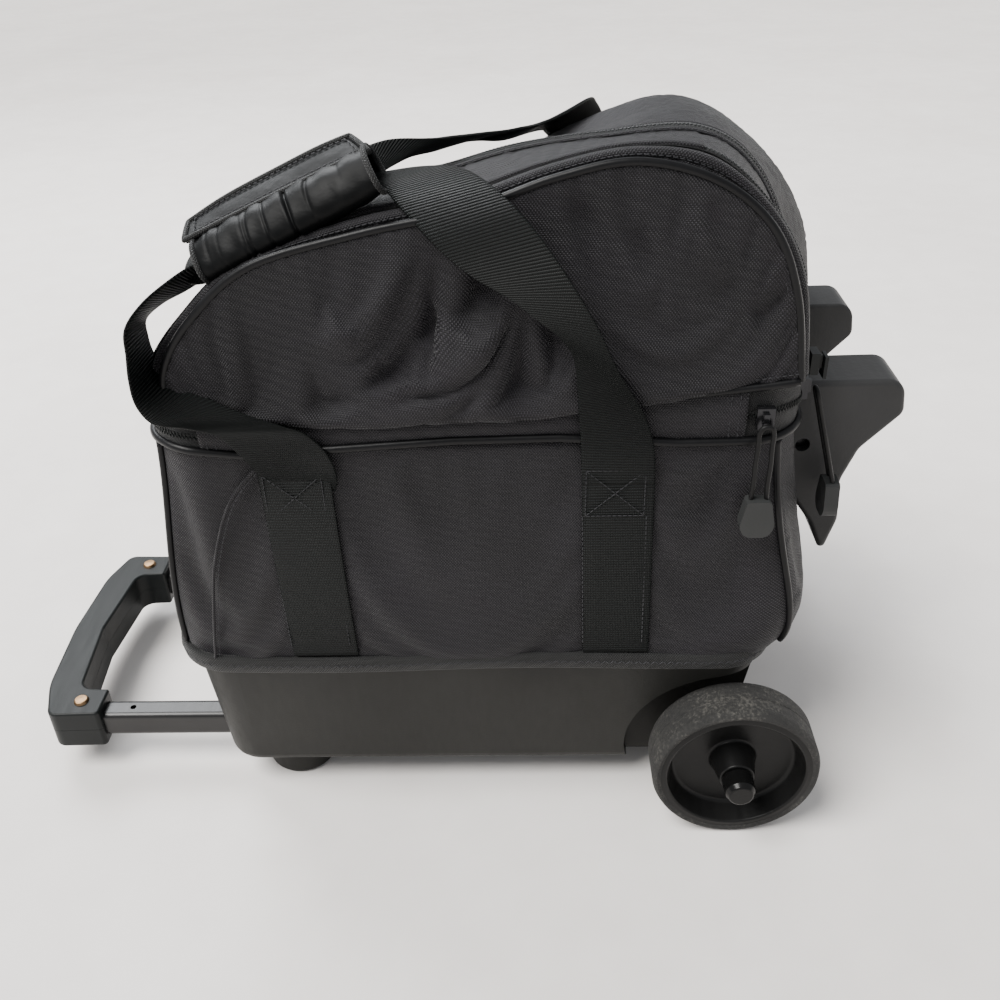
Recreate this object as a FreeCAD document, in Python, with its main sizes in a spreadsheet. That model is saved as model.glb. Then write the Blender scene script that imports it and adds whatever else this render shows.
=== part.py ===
"""Single-ball roller bowling bag: a soft bag on a hard moulded tub with two wheels,
a telescopic tow handle, two stand arms, a hinged lid with a zipped upper compartment,
and a padded carry handle.

Millimetres. +Z is up, +X runs from the tow handle to the wheels, and -Y is the near side.
The origin is the centre of the bounding box's underside, on the floor.
"""
import FreeCAD, Part
import math
import os
import re

Vector = FreeCAD.Vector
Rotation = FreeCAD.Rotation

SIZES = {
    # hard tub
    "tub_left": -145, "tub_right": 205, "tub_depth": 120, "rim_height": 119,
    "floor_left": -139, "floor_right": 190, "floor_depth": 105, "floor_height": 20,
    "tub_wall": 3, "rim_corner": 30, "floor_corner": 22,
    "well_radius": 64.5, "well_height": 40, "well_inner": 94,
    # wheels and axle
    "wheel_radius": 50.8, "wheel_across": 186.5, "wheel_inner": 118, "wheel_outer": 148,
    "tyre_depth": 5, "axle_radius": 5, "axle_end": 156, "running_gap": 0.05,
    # feet
    "foot_radius": 23, "foot_across": -96, "foot_apart": 74,
    # telescopic tow handle
    "tube_apart": 77, "tube_height": 34.5, "tube_width": 16, "tube_tall": 19, "tube_wall": 1.1,
    "tube_gap": 0.05, "sleeve_left": -138, "sleeve_right": 133, "middle_left": -140, "middle_right": 130,
    "inner_right": 50, "grip_mouth": -226, "grip_seat": -256, "grip_low": 20, "grip_split": 35,
    "grip_top": 50, "rivet_across": -241, "rivet_radius": 2,
    # soft lower body
    "body_left": -148, "body_right": 205, "body_depth": 123, "body_low": 119.3, "body_top": 270,
    "body_corner": 30, "fabric": 3, "piping": 4, "zip_split": 286, "lid_low": 292,
    # dome: lid, front door and pocket panel
    "door_back": -62, "crown_front": -58, "pocket_back": -108, "flap_back": -112, "far_share": 0.79,
    # stand arms
    "arm_near": 36, "arm_far": 72, "arm_hole_across": 219, "arm_hole_height": 238,
    # webbing
    "strap_width": 38, "strap_thick": 1.6, "strap_left": -59, "strap_right": 110.5,
}

doc = FreeCAD.newDocument("roller_bowling_bag")
sheet = doc.addObject("Spreadsheet::Sheet", "sizes")
for row, (alias, number) in enumerate(SIZES.items(), start=1):
    sheet.set(f"A{row}", alias)
    sheet.set(f"B{row}", str(number))
    sheet.setAlias(f"B{row}", alias)
doc.recompute()

NODES = []


def size(alias):
    """A size as the sheet holds it."""
    return float(sheet.get(alias))


def cells(formula):
    """A formula written with aliases, as an expression on the sheet."""
    return re.sub(r"[a-z_]+[a-z]", lambda word: "sizes." + word.group(0), str(formula))


def node(piece, label=None):
    """Marks a piece as a sub-part that is written out under its label."""
    piece.Label = label or piece.Name
    NODES.append(piece)
    return piece


# ---------------------------------------------------------------- primitives and booleans

def box(name, across, deep, high):
    """A box between pairs of formulas along X, Y and Z."""
    piece = doc.addObject("Part::Box", name)
    spans = (("Length", "x", across), ("Width", "y", deep), ("Height", "z", high))
    for length, axis, (low, top) in spans:
        piece.setExpression(length, cells(f"({top}) - ({low})"))
        piece.setExpression(f"Placement.Base.{axis}", cells(low))
    return piece


TURNS = {"x": Rotation(Vector(0, 1, 0), 90), "y": Rotation(Vector(1, 0, 0), -90), "z": Rotation()}


def cylinder(name, radius, length, axis, start):
    """A cylinder along an axis, from the point start."""
    piece = doc.addObject("Part::Cylinder", name)
    piece.Placement = FreeCAD.Placement(Vector(), TURNS[axis])
    piece.setExpression("Radius", cells(radius))
    piece.setExpression("Height", cells(length))
    for letter, formula in zip("xyz", start):
        piece.setExpression(f"Placement.Base.{letter}", cells(formula))
    return piece


def fuse(name, pieces):
    piece = doc.addObject("Part::MultiFuse", name)
    piece.Shapes = pieces
    return piece


def cut(name, base, tools):
    piece = doc.addObject("Part::Cut", name)
    piece.Base = base
    piece.Tool = tools[0] if len(tools) == 1 else fuse(name + "_tools", tools)
    return piece


def common(name, first, second):
    piece = doc.addObject("Part::MultiCommon", name)
    piece.Shapes = [first, second]
    return piece


def rounded_box(name, across, deep, high, radius, axis="z"):
    """A box whose four edges along an axis are rounded."""
    base = box(name + "_block", across, deep, high)
    doc.recompute()
    along = {"x": Vector(1, 0, 0), "y": Vector(0, 1, 0), "z": Vector(0, 0, 1)}[axis]
    piece = doc.addObject("Part::Fillet", name)
    piece.Base = base
    edges = []
    for number, edge in enumerate(base.Shape.Edges, start=1):
        if abs(edge.tangentAt(edge.FirstParameter).dot(along)) > 0.9:
            edges.append((number, radius, radius))
    piece.Edges = edges
    return piece


def ring(name, inward_by, high, thickness, radius):
    """A closed band round the soft body, a thickness deep, moved inward from its outer face."""
    def block(part, inward, span, corner):
        across = (f"body_left + {inward}", f"body_right - {inward}")
        deep = (f"-body_depth + {inward}", f"body_depth - {inward}")
        return rounded_box(name + part, across, deep, span, corner)
    outer = block("_outer", inward_by, high, radius - inward_by)
    hollow = (f"{high[0]} - 5", f"{high[1]} + 5")
    inner_by = inward_by + thickness
    inner = block("_inner", inner_by, hollow, radius - inner_by)
    return cut(name, outer, [inner])


# ---------------------------------------------------------------- sketched bodies

def corner(before, point, after, radius):
    """Where a rounded corner starts, its middle and its end."""
    back = (before - point).normalize()
    ahead = (after - point).normalize()
    half = back.getAngle(ahead) / 2
    if radius <= 0 or abs(half - math.pi / 2) < 1e-6:
        return point, None, point
    reach = radius / math.tan(half)
    inward = (back + ahead).normalize()
    middle = point + inward * (radius / math.sin(half) - radius)
    return point + back * reach, middle, point + ahead * reach


def outline(points):
    """Lines and arcs through (u, v, radius) corners, as a closed loop."""
    places = [Vector(u, v, 0) for u, v, _ in points]
    count = len(places)
    turns = [corner(places[i - 1], places[i], places[(i + 1) % count], points[i][2]) for i in range(count)]
    edges = []
    for i, (start, middle, end) in enumerate(turns):
        if middle is not None:
            edges.append(Part.Arc(start, middle, end))
        following = turns[(i + 1) % count][0]
        if end.distanceToPoint(following) > 1e-6:
            edges.append(Part.LineSegment(end, following))
    return edges


def inset(points, depth):
    """The corners moved inward by a depth, with radii that keep the wall even."""
    count = len(points)
    places = [Vector(u, v, 0) for u, v, _ in points]
    area = sum(places[i - 1].x * places[i].y - places[i].x * places[i - 1].y for i in range(count))
    side = 1 if area > 0 else -1
    moved = []
    for i, place in enumerate(places):
        first = (place - places[i - 1]).normalize()
        second = (places[(i + 1) % count] - place).normalize()
        first_in = Vector(-first.y, first.x, 0) * side
        second_in = Vector(-second.y, second.x, 0) * side
        spot = place + (first_in + second_in) * (depth / (1 + first_in.dot(second_in)))
        convex = first.cross(second).z * side > 0
        radius = points[i][2]
        if radius > 0:
            radius = max(radius - depth, 0.5) if convex else radius + depth
        moved.append((spot.x, spot.y, radius))
    return moved


def sketch_in(body, plane, loops, offset=None):
    """A sketch of closed loops on one of a body's own planes."""
    sketch = body.newObject("Sketcher::SketchObject", body.Name + "_sketch")
    support = [each for each in body.Origin.OriginFeatures if each.Role == plane][0]
    sketch.AttachmentSupport = [(support, "")]
    sketch.MapMode = "FlatFace"
    if offset is not None:
        sketch.setExpression("AttachmentOffset.Base.z", cells(offset))
    for loop in loops:
        sketch.addGeometry(loop, False)
    return sketch


def pad(name, plane, loops, span):
    """A body padded across a span along the plane's normal axis."""
    body = doc.addObject("PartDesign::Body", name)
    low, high = span
    offset = f"-({high})" if plane == "XZ_Plane" else low
    sketch = sketch_in(body, plane, loops, offset)
    feature = body.newObject("PartDesign::Pad", name + "_pad")
    feature.Profile = sketch
    feature.setExpression("Length", cells(f"({high}) - ({low})"))
    return body


def turned(name, plane, loop):
    """A body of revolution about the sketch's vertical axis."""
    body = doc.addObject("PartDesign::Body", name)
    sketch = sketch_in(body, plane, [loop])
    feature = body.newObject("PartDesign::Revolution", name + "_turn")
    feature.Profile = sketch
    feature.ReferenceAxis = (sketch, ["V_Axis"])
    feature.Angle = 360
    return body


def round_level(body, axis, level, radius):
    """Rounds the edges of a body that lie wholly at one level along an axis."""
    doc.recompute()
    base = body.Tip
    names = []
    for number, edge in enumerate(body.Shape.Edges, start=1):
        bounds = edge.BoundBox
        lowest = getattr(bounds, axis + "Min")
        highest = getattr(bounds, axis + "Max")
        if abs(lowest - level) < 1e-3 and abs(highest - level) < 1e-3:
            names.append(f"Edge{number}")
    rounding = body.newObject("PartDesign::Fillet", body.Name + "_rounding")
    rounding.Base = (base, names)
    rounding.Radius = radius
    return body


def moved_to(body, across, deep, high):
    for letter, formula in zip("xyz", (across, deep, high)):
        body.setExpression(f"Placement.Base.{letter}", cells(formula))
    return body


def shaped(name, shape):
    """A piece whose shape is worked out in code, for soft forms that are lofted or swept."""
    piece = doc.addObject("Part::Feature", name)
    piece.Shape = shape
    return piece


# ---------------------------------------------------------------- hard tub, feet, axle

def tub_outline(body, level, inward):
    """The tub's rounded rectangle at one height, drafted between its floor and its rim."""
    share = (level - size("floor_height")) / (size("rim_height") - size("floor_height"))

    def drafted(low, high):
        return size(low) + (size(high) - size(low)) * share
    left = drafted("floor_left", "tub_left") + inward
    right = drafted("floor_right", "tub_right") - inward
    deep = drafted("floor_depth", "tub_depth") - inward
    turn = drafted("floor_corner", "rim_corner") - inward
    corners = [(left, -deep, turn), (right, -deep, turn), (right, deep, turn), (left, deep, turn)]
    return sketch_in(body, "XY_Plane", [outline(corners)], str(level))


def tub_loft(body, name, kind, slices):
    """A ruled block through (height, inset) slices of the tub."""
    sketches = [tub_outline(body, level, inward) for level, inward in slices]
    feature = body.newObject(kind, name)
    feature.Profile = sketches[0]
    feature.Sections = sketches[1:]
    feature.Ruled = True


def base_tub():
    floor = size("floor_height")
    wall = size("tub_wall")
    edge = 8
    turns = [math.radians(angle) for angle in (10, 30, 50, 70, 90)]
    rounding = [(floor + edge * (1 - math.cos(turn)), edge * (1 - math.sin(turn))) for turn in turns]
    outside = [(floor, edge * 0.95)] + rounding + [(size("rim_height"), 0)]
    body = doc.addObject("PartDesign::Body", "tub_shell")
    tub_loft(body, "tub_outside", "PartDesign::AdditiveLoft", outside)
    doc.recompute()
    solid = shaped("tub_solid", body.Shape.copy())
    tub_loft(body, "tub_inside", "PartDesign::SubtractiveLoft",
             [(floor + wall - 0.5, wall + 4), (floor + wall + 4, wall), (size("rim_height") + 0.01, wall)])
    pieces = [body]
    tools = []
    for side, sign in (("near", "-"), ("far", "")):
        low = "-125" if side == "near" else "well_inner - tub_wall"
        housing = cylinder(f"well_housing_{side}", "well_radius + tub_wall", "125 - well_inner + tub_wall", "y",
                           ("wheel_across", low, "well_height"))
        pieces.append(common(f"well_liner_{side}", solid, housing))
        start = "-135" if side == "near" else "well_inner"
        tools.append(cylinder(f"well_{side}", "well_radius", "135 - well_inner", "y",
                              ("wheel_across", start, "well_height")))
        grown = "2 * tube_wall + 2 * tube_gap + 0.1"
        wide = f"tube_width / 2 + {grown}"
        tall = f"tube_tall / 2 + {grown}"
        tools.append(box(f"tube_window_{side}", ("tub_left - 5", "sleeve_left + 30"),
                         (f"{sign}tube_apart - ({wide})", f"{sign}tube_apart + ({wide})"),
                         (f"tube_height - ({tall})", f"tube_height + ({tall})")))
        tools.append(cylinder(f"foot_hole_{side}", "2.2", "12", "z",
                              ("foot_across", f"{sign}foot_apart", "floor_height - 4")))
    tools.append(cylinder("axle_hole", "axle_radius + 0.05", "2 * axle_end", "y",
                          ("wheel_across", "-axle_end", "wheel_radius")))
    return node(cut("base_tub", fuse("tub_with_liners", pieces), tools))


def feet():
    radius = size("foot_radius")
    height = size("floor_height")
    loop = outline([(2.2, 6, 0), (6, 6, 0), (6, 0, 0), (radius - 2, 0, 2), (radius, 3, 3),
                    (radius, height, 0), (2.2, height, 0)])
    for side, sign in (("near", "-"), ("far", "")):
        foot = turned(f"{side}_foot", "XZ_Plane", loop)
        node(moved_to(foot, "foot_across", f"{sign}foot_apart", "0"))
    screw = outline([(0, 2.5, 0), (4.5, 2.5, 0), (4.5, 5.9, 0), (2, 5.9, 0), (2, 22.3, 0), (0, 22.3, 0)])
    screws = []
    for side, sign in (("near", "-"), ("far", "")):
        body = turned(f"foot_screw_{side}", "XZ_Plane", screw)
        screws.append(moved_to(body, "foot_across", f"{sign}foot_apart", "0"))
    node(fuse("foot_screws", screws))


def axle():
    node(cylinder("axle", "axle_radius", "2 * axle_end", "y", ("wheel_across", "-axle_end", "wheel_radius")))
    bore = cylinder("axle_sleeve_bore", "axle_radius + 0.1", "190", "y", ("wheel_across", "-95", "wheel_radius"))
    tube = cylinder("axle_sleeve_tube", "axle_radius + 5", "2 * (well_inner - 14)", "y",
                    ("wheel_across", "14 - well_inner", "wheel_radius"))
    wall_side = box("axle_sleeve_wall_side", ("wheel_across + 3.4", "wheel_across + 20"), ("-100", "100"),
                    ("wheel_radius - 20", "wheel_radius + 20"))
    node(cut("axle_sleeve", tube, [bore, wall_side]))
    cap = outline([(0, 156.1, 0), (5.1, 156.1, 0), (5.1, 150.4, 0), (9.5, 150.4, 1), (9, 161, 1.5),
                   (7, 164, 1.5), (0, 164, 0)])
    for side, turn in (("far", 0), ("near", 180)):
        body = turned(f"axle_cap_{side}", "XY_Plane", cap)
        body.Placement = FreeCAD.Placement(Vector(), Rotation(Vector(0, 0, 1), turn))
        node(moved_to(body, "wheel_across", "0", "wheel_radius"))


def ball_cup():
    block = box("ball_cup_block", ("-80", "110"), ("-64", "64"), ("floor_height + tub_wall", "60"))
    ball = doc.addObject("Part::Sphere", "ball_cup_seat")
    ball.Radius = 109
    ball.Placement.Base = Vector(15, 0, 134)
    node(cut("ball_cup", block, [ball]))


# ---------------------------------------------------------------- wheels

def wheels():
    outer = size("wheel_radius")
    tread = outer - size("tyre_depth")
    inner_face = size("wheel_inner")
    face = size("wheel_outer")
    bore = size("axle_radius") + size("running_gap")
    rim = outline([(bore, 96, 0), (10, 96, 1), (13, 122, 2), (tread - 7, 126, 3), (tread - 5, inner_face + 1, 2),
                   (tread, inner_face + 1, 0), (tread, face - 1, 0), (tread - 4, face - 0.5, 1.5),
                   (tread - 8, 134, 3), (14, 132, 2), (10.5, 149.8, 1), (bore, 149.8, 0)])
    tyre = outline([(tread, inner_face + 1, 0), (tread + 2, inner_face, 0), (outer - 1.5, inner_face + 0.4, 2),
                    (outer, inner_face + 4, 2), (outer, 132.2, 0), (outer - 0.8, 133, 0), (outer, 133.8, 0),
                    (outer, face - 4, 2), (outer - 1.5, face - 0.4, 2), (tread + 2, face, 0), (tread, face - 1, 0)])
    for side, turn in (("far", 0), ("near", 180)):
        for part, loop in (("rim", rim), ("tyre", tyre)):
            body = turned(f"{side}_wheel_{part}", "XY_Plane", loop)
            body.Placement = FreeCAD.Placement(Vector(), Rotation(Vector(0, 0, 1), turn))
            node(moved_to(body, "wheel_across", "0", "wheel_radius"))


# ---------------------------------------------------------------- telescopic tow handle

def tube(name, side, across, grown, radius):
    """One rectangular tube round the handle's tube line, grown outward from the inner tube."""
    sign = "-" if side == "near" else ""

    def bar(part, extra, span, turn):
        wide = f"tube_width / 2 + {extra}"
        tall = f"tube_tall / 2 + {extra}"
        return rounded_box(name + part, span, (f"{sign}tube_apart - ({wide})", f"{sign}tube_apart + ({wide})"),
                           (f"tube_height - ({tall})", f"tube_height + ({tall})"), turn, "x")
    outer = bar("_outer", grown, across, radius)
    inner = bar("_inner", f"{grown} - tube_wall", (f"({across[0]}) - 2", f"({across[1]}) + 2"), radius - 1.1)
    return cut(name, outer, [inner])


def tow_handle():
    for side in ("near", "far"):
        sign = "-" if side == "near" else ""
        step = "tube_gap + tube_wall"
        node(tube(f"outer_tube_{side}", side, ("sleeve_left", "sleeve_right"), f"2 * ({step})", 6))
        node(tube(f"middle_tube_{side}", side, ("middle_left", "middle_right"), f"{step}", 5))
        plain = tube(f"inner_tube_blank_{side}", side, ("grip_seat + 0.5", "inner_right"), "0", 4)
        holes = [cylinder(f"rivet_way_{side}", "rivet_radius + 0.1", "60", "z",
                          ("rivet_across", f"{sign}tube_apart", "0")),
                 cylinder(f"lock_hole_{side}", "2", "30", "z", ("-207", f"{sign}tube_apart", "tube_height"))]
        node(cut(f"inner_tube_{side}", plain, holes))
    grip()


def grip():
    """A bridge of two moulded halves, bowed outward, with a neck round each tube."""
    outside = [(-226, -89, 3), (-260, -90, 8), (-270, -60, 60), (-273.64, 0, 120), (-270, 60, 60), (-260, 90, 8),
               (-226, 89, 3), (-226, 65, 2), (-246, 64, 9), (-252, 0, 0), (-246, -64, 9), (-226, -65, 2)]
    pockets = []
    for side, sign in (("near", "-"), ("far", "")):
        wide = "tube_width / 2 + 0.1"
        tall = "tube_tall / 2 + 0.1"
        pockets.append(rounded_box(f"grip_pocket_{side}", ("grip_seat", "grip_mouth + 3"),
                                   (f"{sign}tube_apart - ({wide})", f"{sign}tube_apart + ({wide})"),
                                   (f"tube_height - ({tall})", f"tube_height + ({tall})"), 4, "x"))
        pockets.append(cylinder(f"grip_rivet_way_{side}", "rivet_radius + 0.1", "70", "z",
                                ("rivet_across", f"{sign}tube_apart", "-5")))
    for half, span in (("lower", ("grip_low", "grip_split - 0.1")), ("upper", ("grip_split + 0.1", "grip_top"))):
        body = pad(f"grip_{half}_blank", "XY_Plane", [outline(outside)], span)
        round_level(body, "Z", size("grip_low") if half == "lower" else size("grip_top"), 1.8)
        node(cut(f"grip_{half}", body, pockets))
    head = outline([(0, 17, 0), (2, 17, 0), (2, 50.1, 0), (5, 50.1, 0), (4.2, 52, 1), (0, 52.4, 0)])
    rivets = []
    for side, sign in (("near", "-"), ("far", "")):
        rivets.append(moved_to(turned(f"grip_rivet_{side}", "XZ_Plane", head), "rivet_across",
                               f"{sign}tube_apart", "0"))
    node(fuse("grip_rivets", rivets))


# ---------------------------------------------------------------- soft lower body

def lower_body():
    wall = ring("body_wall", 0, ("body_low", "body_top"), size("fabric"), size("body_corner"))
    turn = "body_corner"
    between = (f"body_left + {turn} + 0.1", f"body_right - {turn} - 0.1")
    tall = ("body_low - 1", "body_top + 1")
    areas = {
        "near_side_panel": (between, ("-140", "0"), tall),
        "far_side_panel": (between, ("0", "140"), tall),
        "left_end_panel": (("-160", f"body_left + {turn}"), ("-140", "140"), tall),
        "right_end_panel": ((f"body_right - {turn}", "220"), ("-140", "140"), tall),
    }
    for name, (across, deep, high) in areas.items():
        node(common(name, wall, box(name + "_area", across, deep, high)))
    node(ring("lower_piping", -1, ("body_top + 0.1", "body_top + piping"), 4, size("body_corner")))
    node(ring("hem_binding", -1.7, ("body_low - 0.3", "body_low + 15"), 1.5, size("body_corner")))


def main_zip():
    """The zip's two tapes, open along the hinge on the near side."""
    gap = box("zip_gap", ("-105", "172"), ("-140", "0"), ("260", "300"))
    lower = ring("zip_lower_ring", 0, ("body_top + piping + 0.1", "zip_split - 0.3"), 2, size("body_corner"))
    upper = ring("zip_upper_ring", 0, ("zip_split + 0.3", "lid_low - 0.3"), 2, size("body_corner"))
    node(cut("main_zip_lower", lower, [gap]))
    node(cut("main_zip_upper", upper, [gap]))
    node(box("hinge_band", ("-104.5", "171.5"), ("-body_depth", "2 - body_depth"),
             ("body_top + piping + 0.1", "lid_low - 0.3")))


def webbing(name, stations):
    """A flat strap through stations of (centre, direction across the strap, outward normal)."""
    wires = []
    for centre, across, outward in stations:
        middle = Vector(*centre)
        side = Vector(*across).normalize() * size("strap_width") / 2
        lift = Vector(*outward).normalize() * size("strap_thick") / 2
        corners = [middle - side - lift, middle + side - lift, middle + side + lift, middle - side + lift]
        wires.append(Part.makePolygon(corners + corners[:1]))
    return Part.makeLoft(wires, True, True)


def strap_legs():
    """The sewn ends of both carry straps, flat on the side panels."""
    for side, low, high in (("near", "-body_depth - 0.1 - strap_thick", "-body_depth - 0.1"),
                            ("far", "body_depth + 0.1", "body_depth + 0.1 + strap_thick")):
        legs = []
        for where in ("left", "right"):
            across = (f"strap_{where} - strap_width / 2", f"strap_{where} + strap_width / 2")
            legs.append(box(f"{side}_leg_{where}", across, (low, high), ("body_low + 15.5", "258")))
        node(fuse(f"{side}_strap_legs", legs))


# ---------------------------------------------------------------- stand arms

def stand_arms():
    """Thick moulded arms on the wheel end: the bag stands upright on them and its wheels."""
    profile = [(209, 277, 5), (270.6, 277.5, 11), (273.2, 257, 7), (252, 234, 14), (244, 212, 20), (247, 186, 20),
               (240, 160, 2.5), (230, 184, 10), (209, 214, 6)]
    spans = {"near": ("-arm_far", "-arm_near"), "far": ("arm_near", "arm_far")}
    for side, span in spans.items():
        body = pad(f"stand_arm_blank_{side}", "XZ_Plane", [outline(profile)], span)
        for alias, radius in (("arm_far", 3.2), ("arm_near", 2)):
            round_level(body, "Y", -size(alias) if side == "near" else size(alias), radius)
        start = "-arm_far - 1" if side == "near" else "arm_far - 9"
        through = "-arm_far - 1" if side == "near" else "arm_near - 1"
        bores = [cylinder(f"arm_counterbore_{side}", "4.2", "10", "y",
                          ("arm_hole_across", start, "arm_hole_height")),
                 cylinder(f"arm_bore_{side}", "2.1", "40", "y", ("arm_hole_across", through, "arm_hole_height"))]
        node(cut(f"stand_arm_{side}", body, bores))
        head = "arm_far - 9" if side == "far" else "-arm_far + 5.5"
        shank = "arm_near + 6" if side == "far" else "-arm_far + 5.5"
        reach = "arm_far - arm_near - 15" if side == "far" else "24"
        screw = [cylinder(f"arm_screw_head_{side}", "3.9", "3.5", "y",
                          ("arm_hole_across", head, "arm_hole_height")),
                 cylinder(f"arm_screw_shank_{side}", "2", reach, "y",
                          ("arm_hole_across", shank, "arm_hole_height"))]
        node(fuse(f"stand_arm_screw_{side}", screw))


# ---------------------------------------------------------------- dome

DOME = [(-138, 292, 0), (-128, 322, 26), (-76, 374, 60), (25, 385, 60), (80, 410, 50), (152, 411, 50),
        (198, 350, 40), (205, 292, 0)]
FLAP = [(-118, 292, 6), (-112, 326, 30), (-64, 374, 60), (25, 383, 60), (78, 408, 45), (148, 409, 42),
        (186, 350, 30), (198, 292, 6)]


def band(name, corners, span, hollow):
    """A wall of fabric between an outline and a hollow, open at both faces."""
    whole = pad(name + "_whole", "XZ_Plane", [outline(corners)], span)
    wide = (f"({span[0]}) - 1", f"({span[1]}) + 1")
    return cut(name, whole, [pad(name + "_hollow", "XZ_Plane", [outline(hollow)], wide)])


def inside(corners):
    """The outline inside a fabric wall."""
    return inset(corners, size("fabric"))


def hollow_of(corners):
    """The outline inside a fabric wall, run out through the bottom."""
    low = size("lid_low")
    floor = low + size("fabric") + 1
    return [(u, v if v > floor else low - 20, r) for u, v, r in inside(corners)]


def lowered(corners):
    """The dome's outline at the far side, where it is lower."""
    low = size("lid_low")
    return [(u, low + (v - low) * size("far_share") if v > low else v, r) for u, v, r in corners]


def upright(corners, deep):
    """An outline stood up in the XZ plane at a depth."""
    wire = Part.Wire([edge.toShape() for edge in outline(corners)])
    wire.Placement = FreeCAD.Placement(Vector(0, deep, 0), Rotation(Vector(1, 0, 0), 90))
    return wire


def lid_crown():
    """The crown of the lid, which falls away towards the far side."""
    front = size("crown_front")
    back = size("body_depth") - size("fabric") - 0.1
    far = lowered(DOME)
    whole = shaped("lid_crown_whole", Part.makeLoft([upright(DOME, front), upright(far, back)], True, True))
    steps = [upright(hollow_of(DOME), front), upright(hollow_of(far), back)]
    hollow = Part.makeLoft(steps, True, True)
    ends = [upright(hollow_of(DOME), front - 1), upright(hollow_of(DOME), front)]
    mouth = Part.makeLoft(ends, True, True)
    ends = [upright(hollow_of(far), back), upright(hollow_of(far), back + 1)]
    rear = Part.makeLoft(ends, True, True)
    tools = [shaped(f"lid_crown_hollow_{n}", shape) for n, shape in enumerate((hollow, mouth, rear))]
    return node(cut("lid_crown", whole, tools))


def dome():
    lid_crown()
    node(pad("lid_far_panel", "XZ_Plane", [outline(lowered(DOME))], ("body_depth - fabric", "body_depth")))
    node(box("lid_floor", ("body_left + 19", "body_right - 7"), ("crown_front", "body_depth - fabric - 0.3"),
             ("lid_low", "lid_low + fabric")))
    node(band("door_crown", DOME, ("pocket_back + 3.1", "door_back"), inside(DOME)))
    node(pad("door_back_panel", "XZ_Plane", [outline(DOME)], ("pocket_back", "pocket_back + 3")))
    flap = [pad("flap_face", "XZ_Plane", [outline(FLAP)], ("-body_depth", "fabric - body_depth")),
            band("flap_gusset", FLAP, ("fabric - body_depth", "flap_back"), inside(FLAP))]
    node(fuse("pocket_panel", flap))
    tape = inset(DOME, 1)
    node(band("compartment_zip", tape, ("door_back + 0.3", "crown_front - 0.3"), hollow_of(tape)))


# ---------------------------------------------------------------- carry handle

def carry_handle():
    """Two strap loops over the dome, gathered in a padded wrap near its left shoulder."""
    level = (1, 0, 0)
    right = [((110.5, -127, 260), level, (0, -1, 0)), ((110.5, -127.4, 276), level, (0, -1, 0)),
             ((108, -128.5, 312), (1, 0, -0.25), (0, -1, 0)),
             ((84, -127.5, 352), (0.86, 0, -0.5), (0, -1, 0.1)),
             ((48, -127, 392), (0.6, 0.1, -0.75), (0, -1, 0.2)),
             ((12, -112, 424), (0.55, 0.5, -0.6), (-0.2, -0.9, 0.7))]
    left = [((-59, -127, 260), level, (0, -1, 0)), ((-64, -129, 280), (0.95, 0, 0.3), (0, -1, 0)),
            ((-86, -132, 312), (0.8, 0, 0.6), (0, -1, 0)), ((-110, -130, 338), (0.6, 0, 0.8), (0, -1, 0.1)),
            ((-122, -120, 358), (0.5, 0.2, 0.8), (-0.3, -1, 0.1))]
    strips = [shaped("near_loop_right", webbing("right", right)), shaped("near_loop_left", webbing("left", left))]
    node(fuse("near_strap_loop", strips))
    node(handle_wrap())
    far = [[((110.5, 127, 260), level, (0, 1, 0)), ((110.5, 127, 330), level, (0, 1, 0)),
            ((108, 127, 386), level, (0, 1, 0.3)), ((104, 116, 402), level, (0, 0.5, 1)),
            ((92, 60, 411), (1, 0.2, 0), (0, 0.1, 1)), ((66, -10, 416), (0.9, 0.4, 0), (0, 0, 1)),
            ((30, -72, 420), (0.8, 0.6, 0), (0, 0, 1))],
           [((-59, 127, 260), level, (0, 1, 0)), ((-59, 127, 320), level, (0, 1, 0)),
            ((-56, 127, 366), level, (0, 1, 0.3)), ((-52, 117, 380), level, (0, 0.5, 1)),
            ((-30, 40, 392), (1, -0.3, 0), (0, 0.1, 1)), ((-14, -20, 398), (1, -0.3, 0), (0, 0, 1)),
            ((-2, -58, 408), (1, -0.2, 0), (0, 0.1, 1))]]
    loops = [shaped(f"far_loop_{n}", webbing("far", stations)) for n, stations in enumerate(far)]
    node(fuse("far_strap_loop", loops))


def wrap_section(centre, along, wide, thick):
    """An ellipse across the wrap."""
    direction = Vector(*along).normalize()
    across = direction.cross(Vector(0, 0, 1)).normalize()
    up = across.cross(direction).normalize()
    ellipse = Part.Ellipse(Vector(), wide / 2, thick / 2)
    edge = ellipse.toShape()
    edge.Placement = FreeCAD.Placement(Vector(*centre), Rotation(across, up, across.cross(up)))
    return Part.Wire([edge])


def handle_wrap():
    along = (0.91, 0.03, 0.4)
    stations = [((-100, -97, 380), 44, 17), ((-86, -96, 389), 52, 22), ((-54, -95, 402), 54, 24),
                ((-26, -94, 411), 52, 23), ((-8, -93, 416), 44, 17)]
    wires = [wrap_section(centre, along, wide, thick) for centre, wide, thick in stations]
    return shaped("handle_wrap", Part.makeLoft(wires, True, False))


# ---------------------------------------------------------------- zip sliders and pulls

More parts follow.
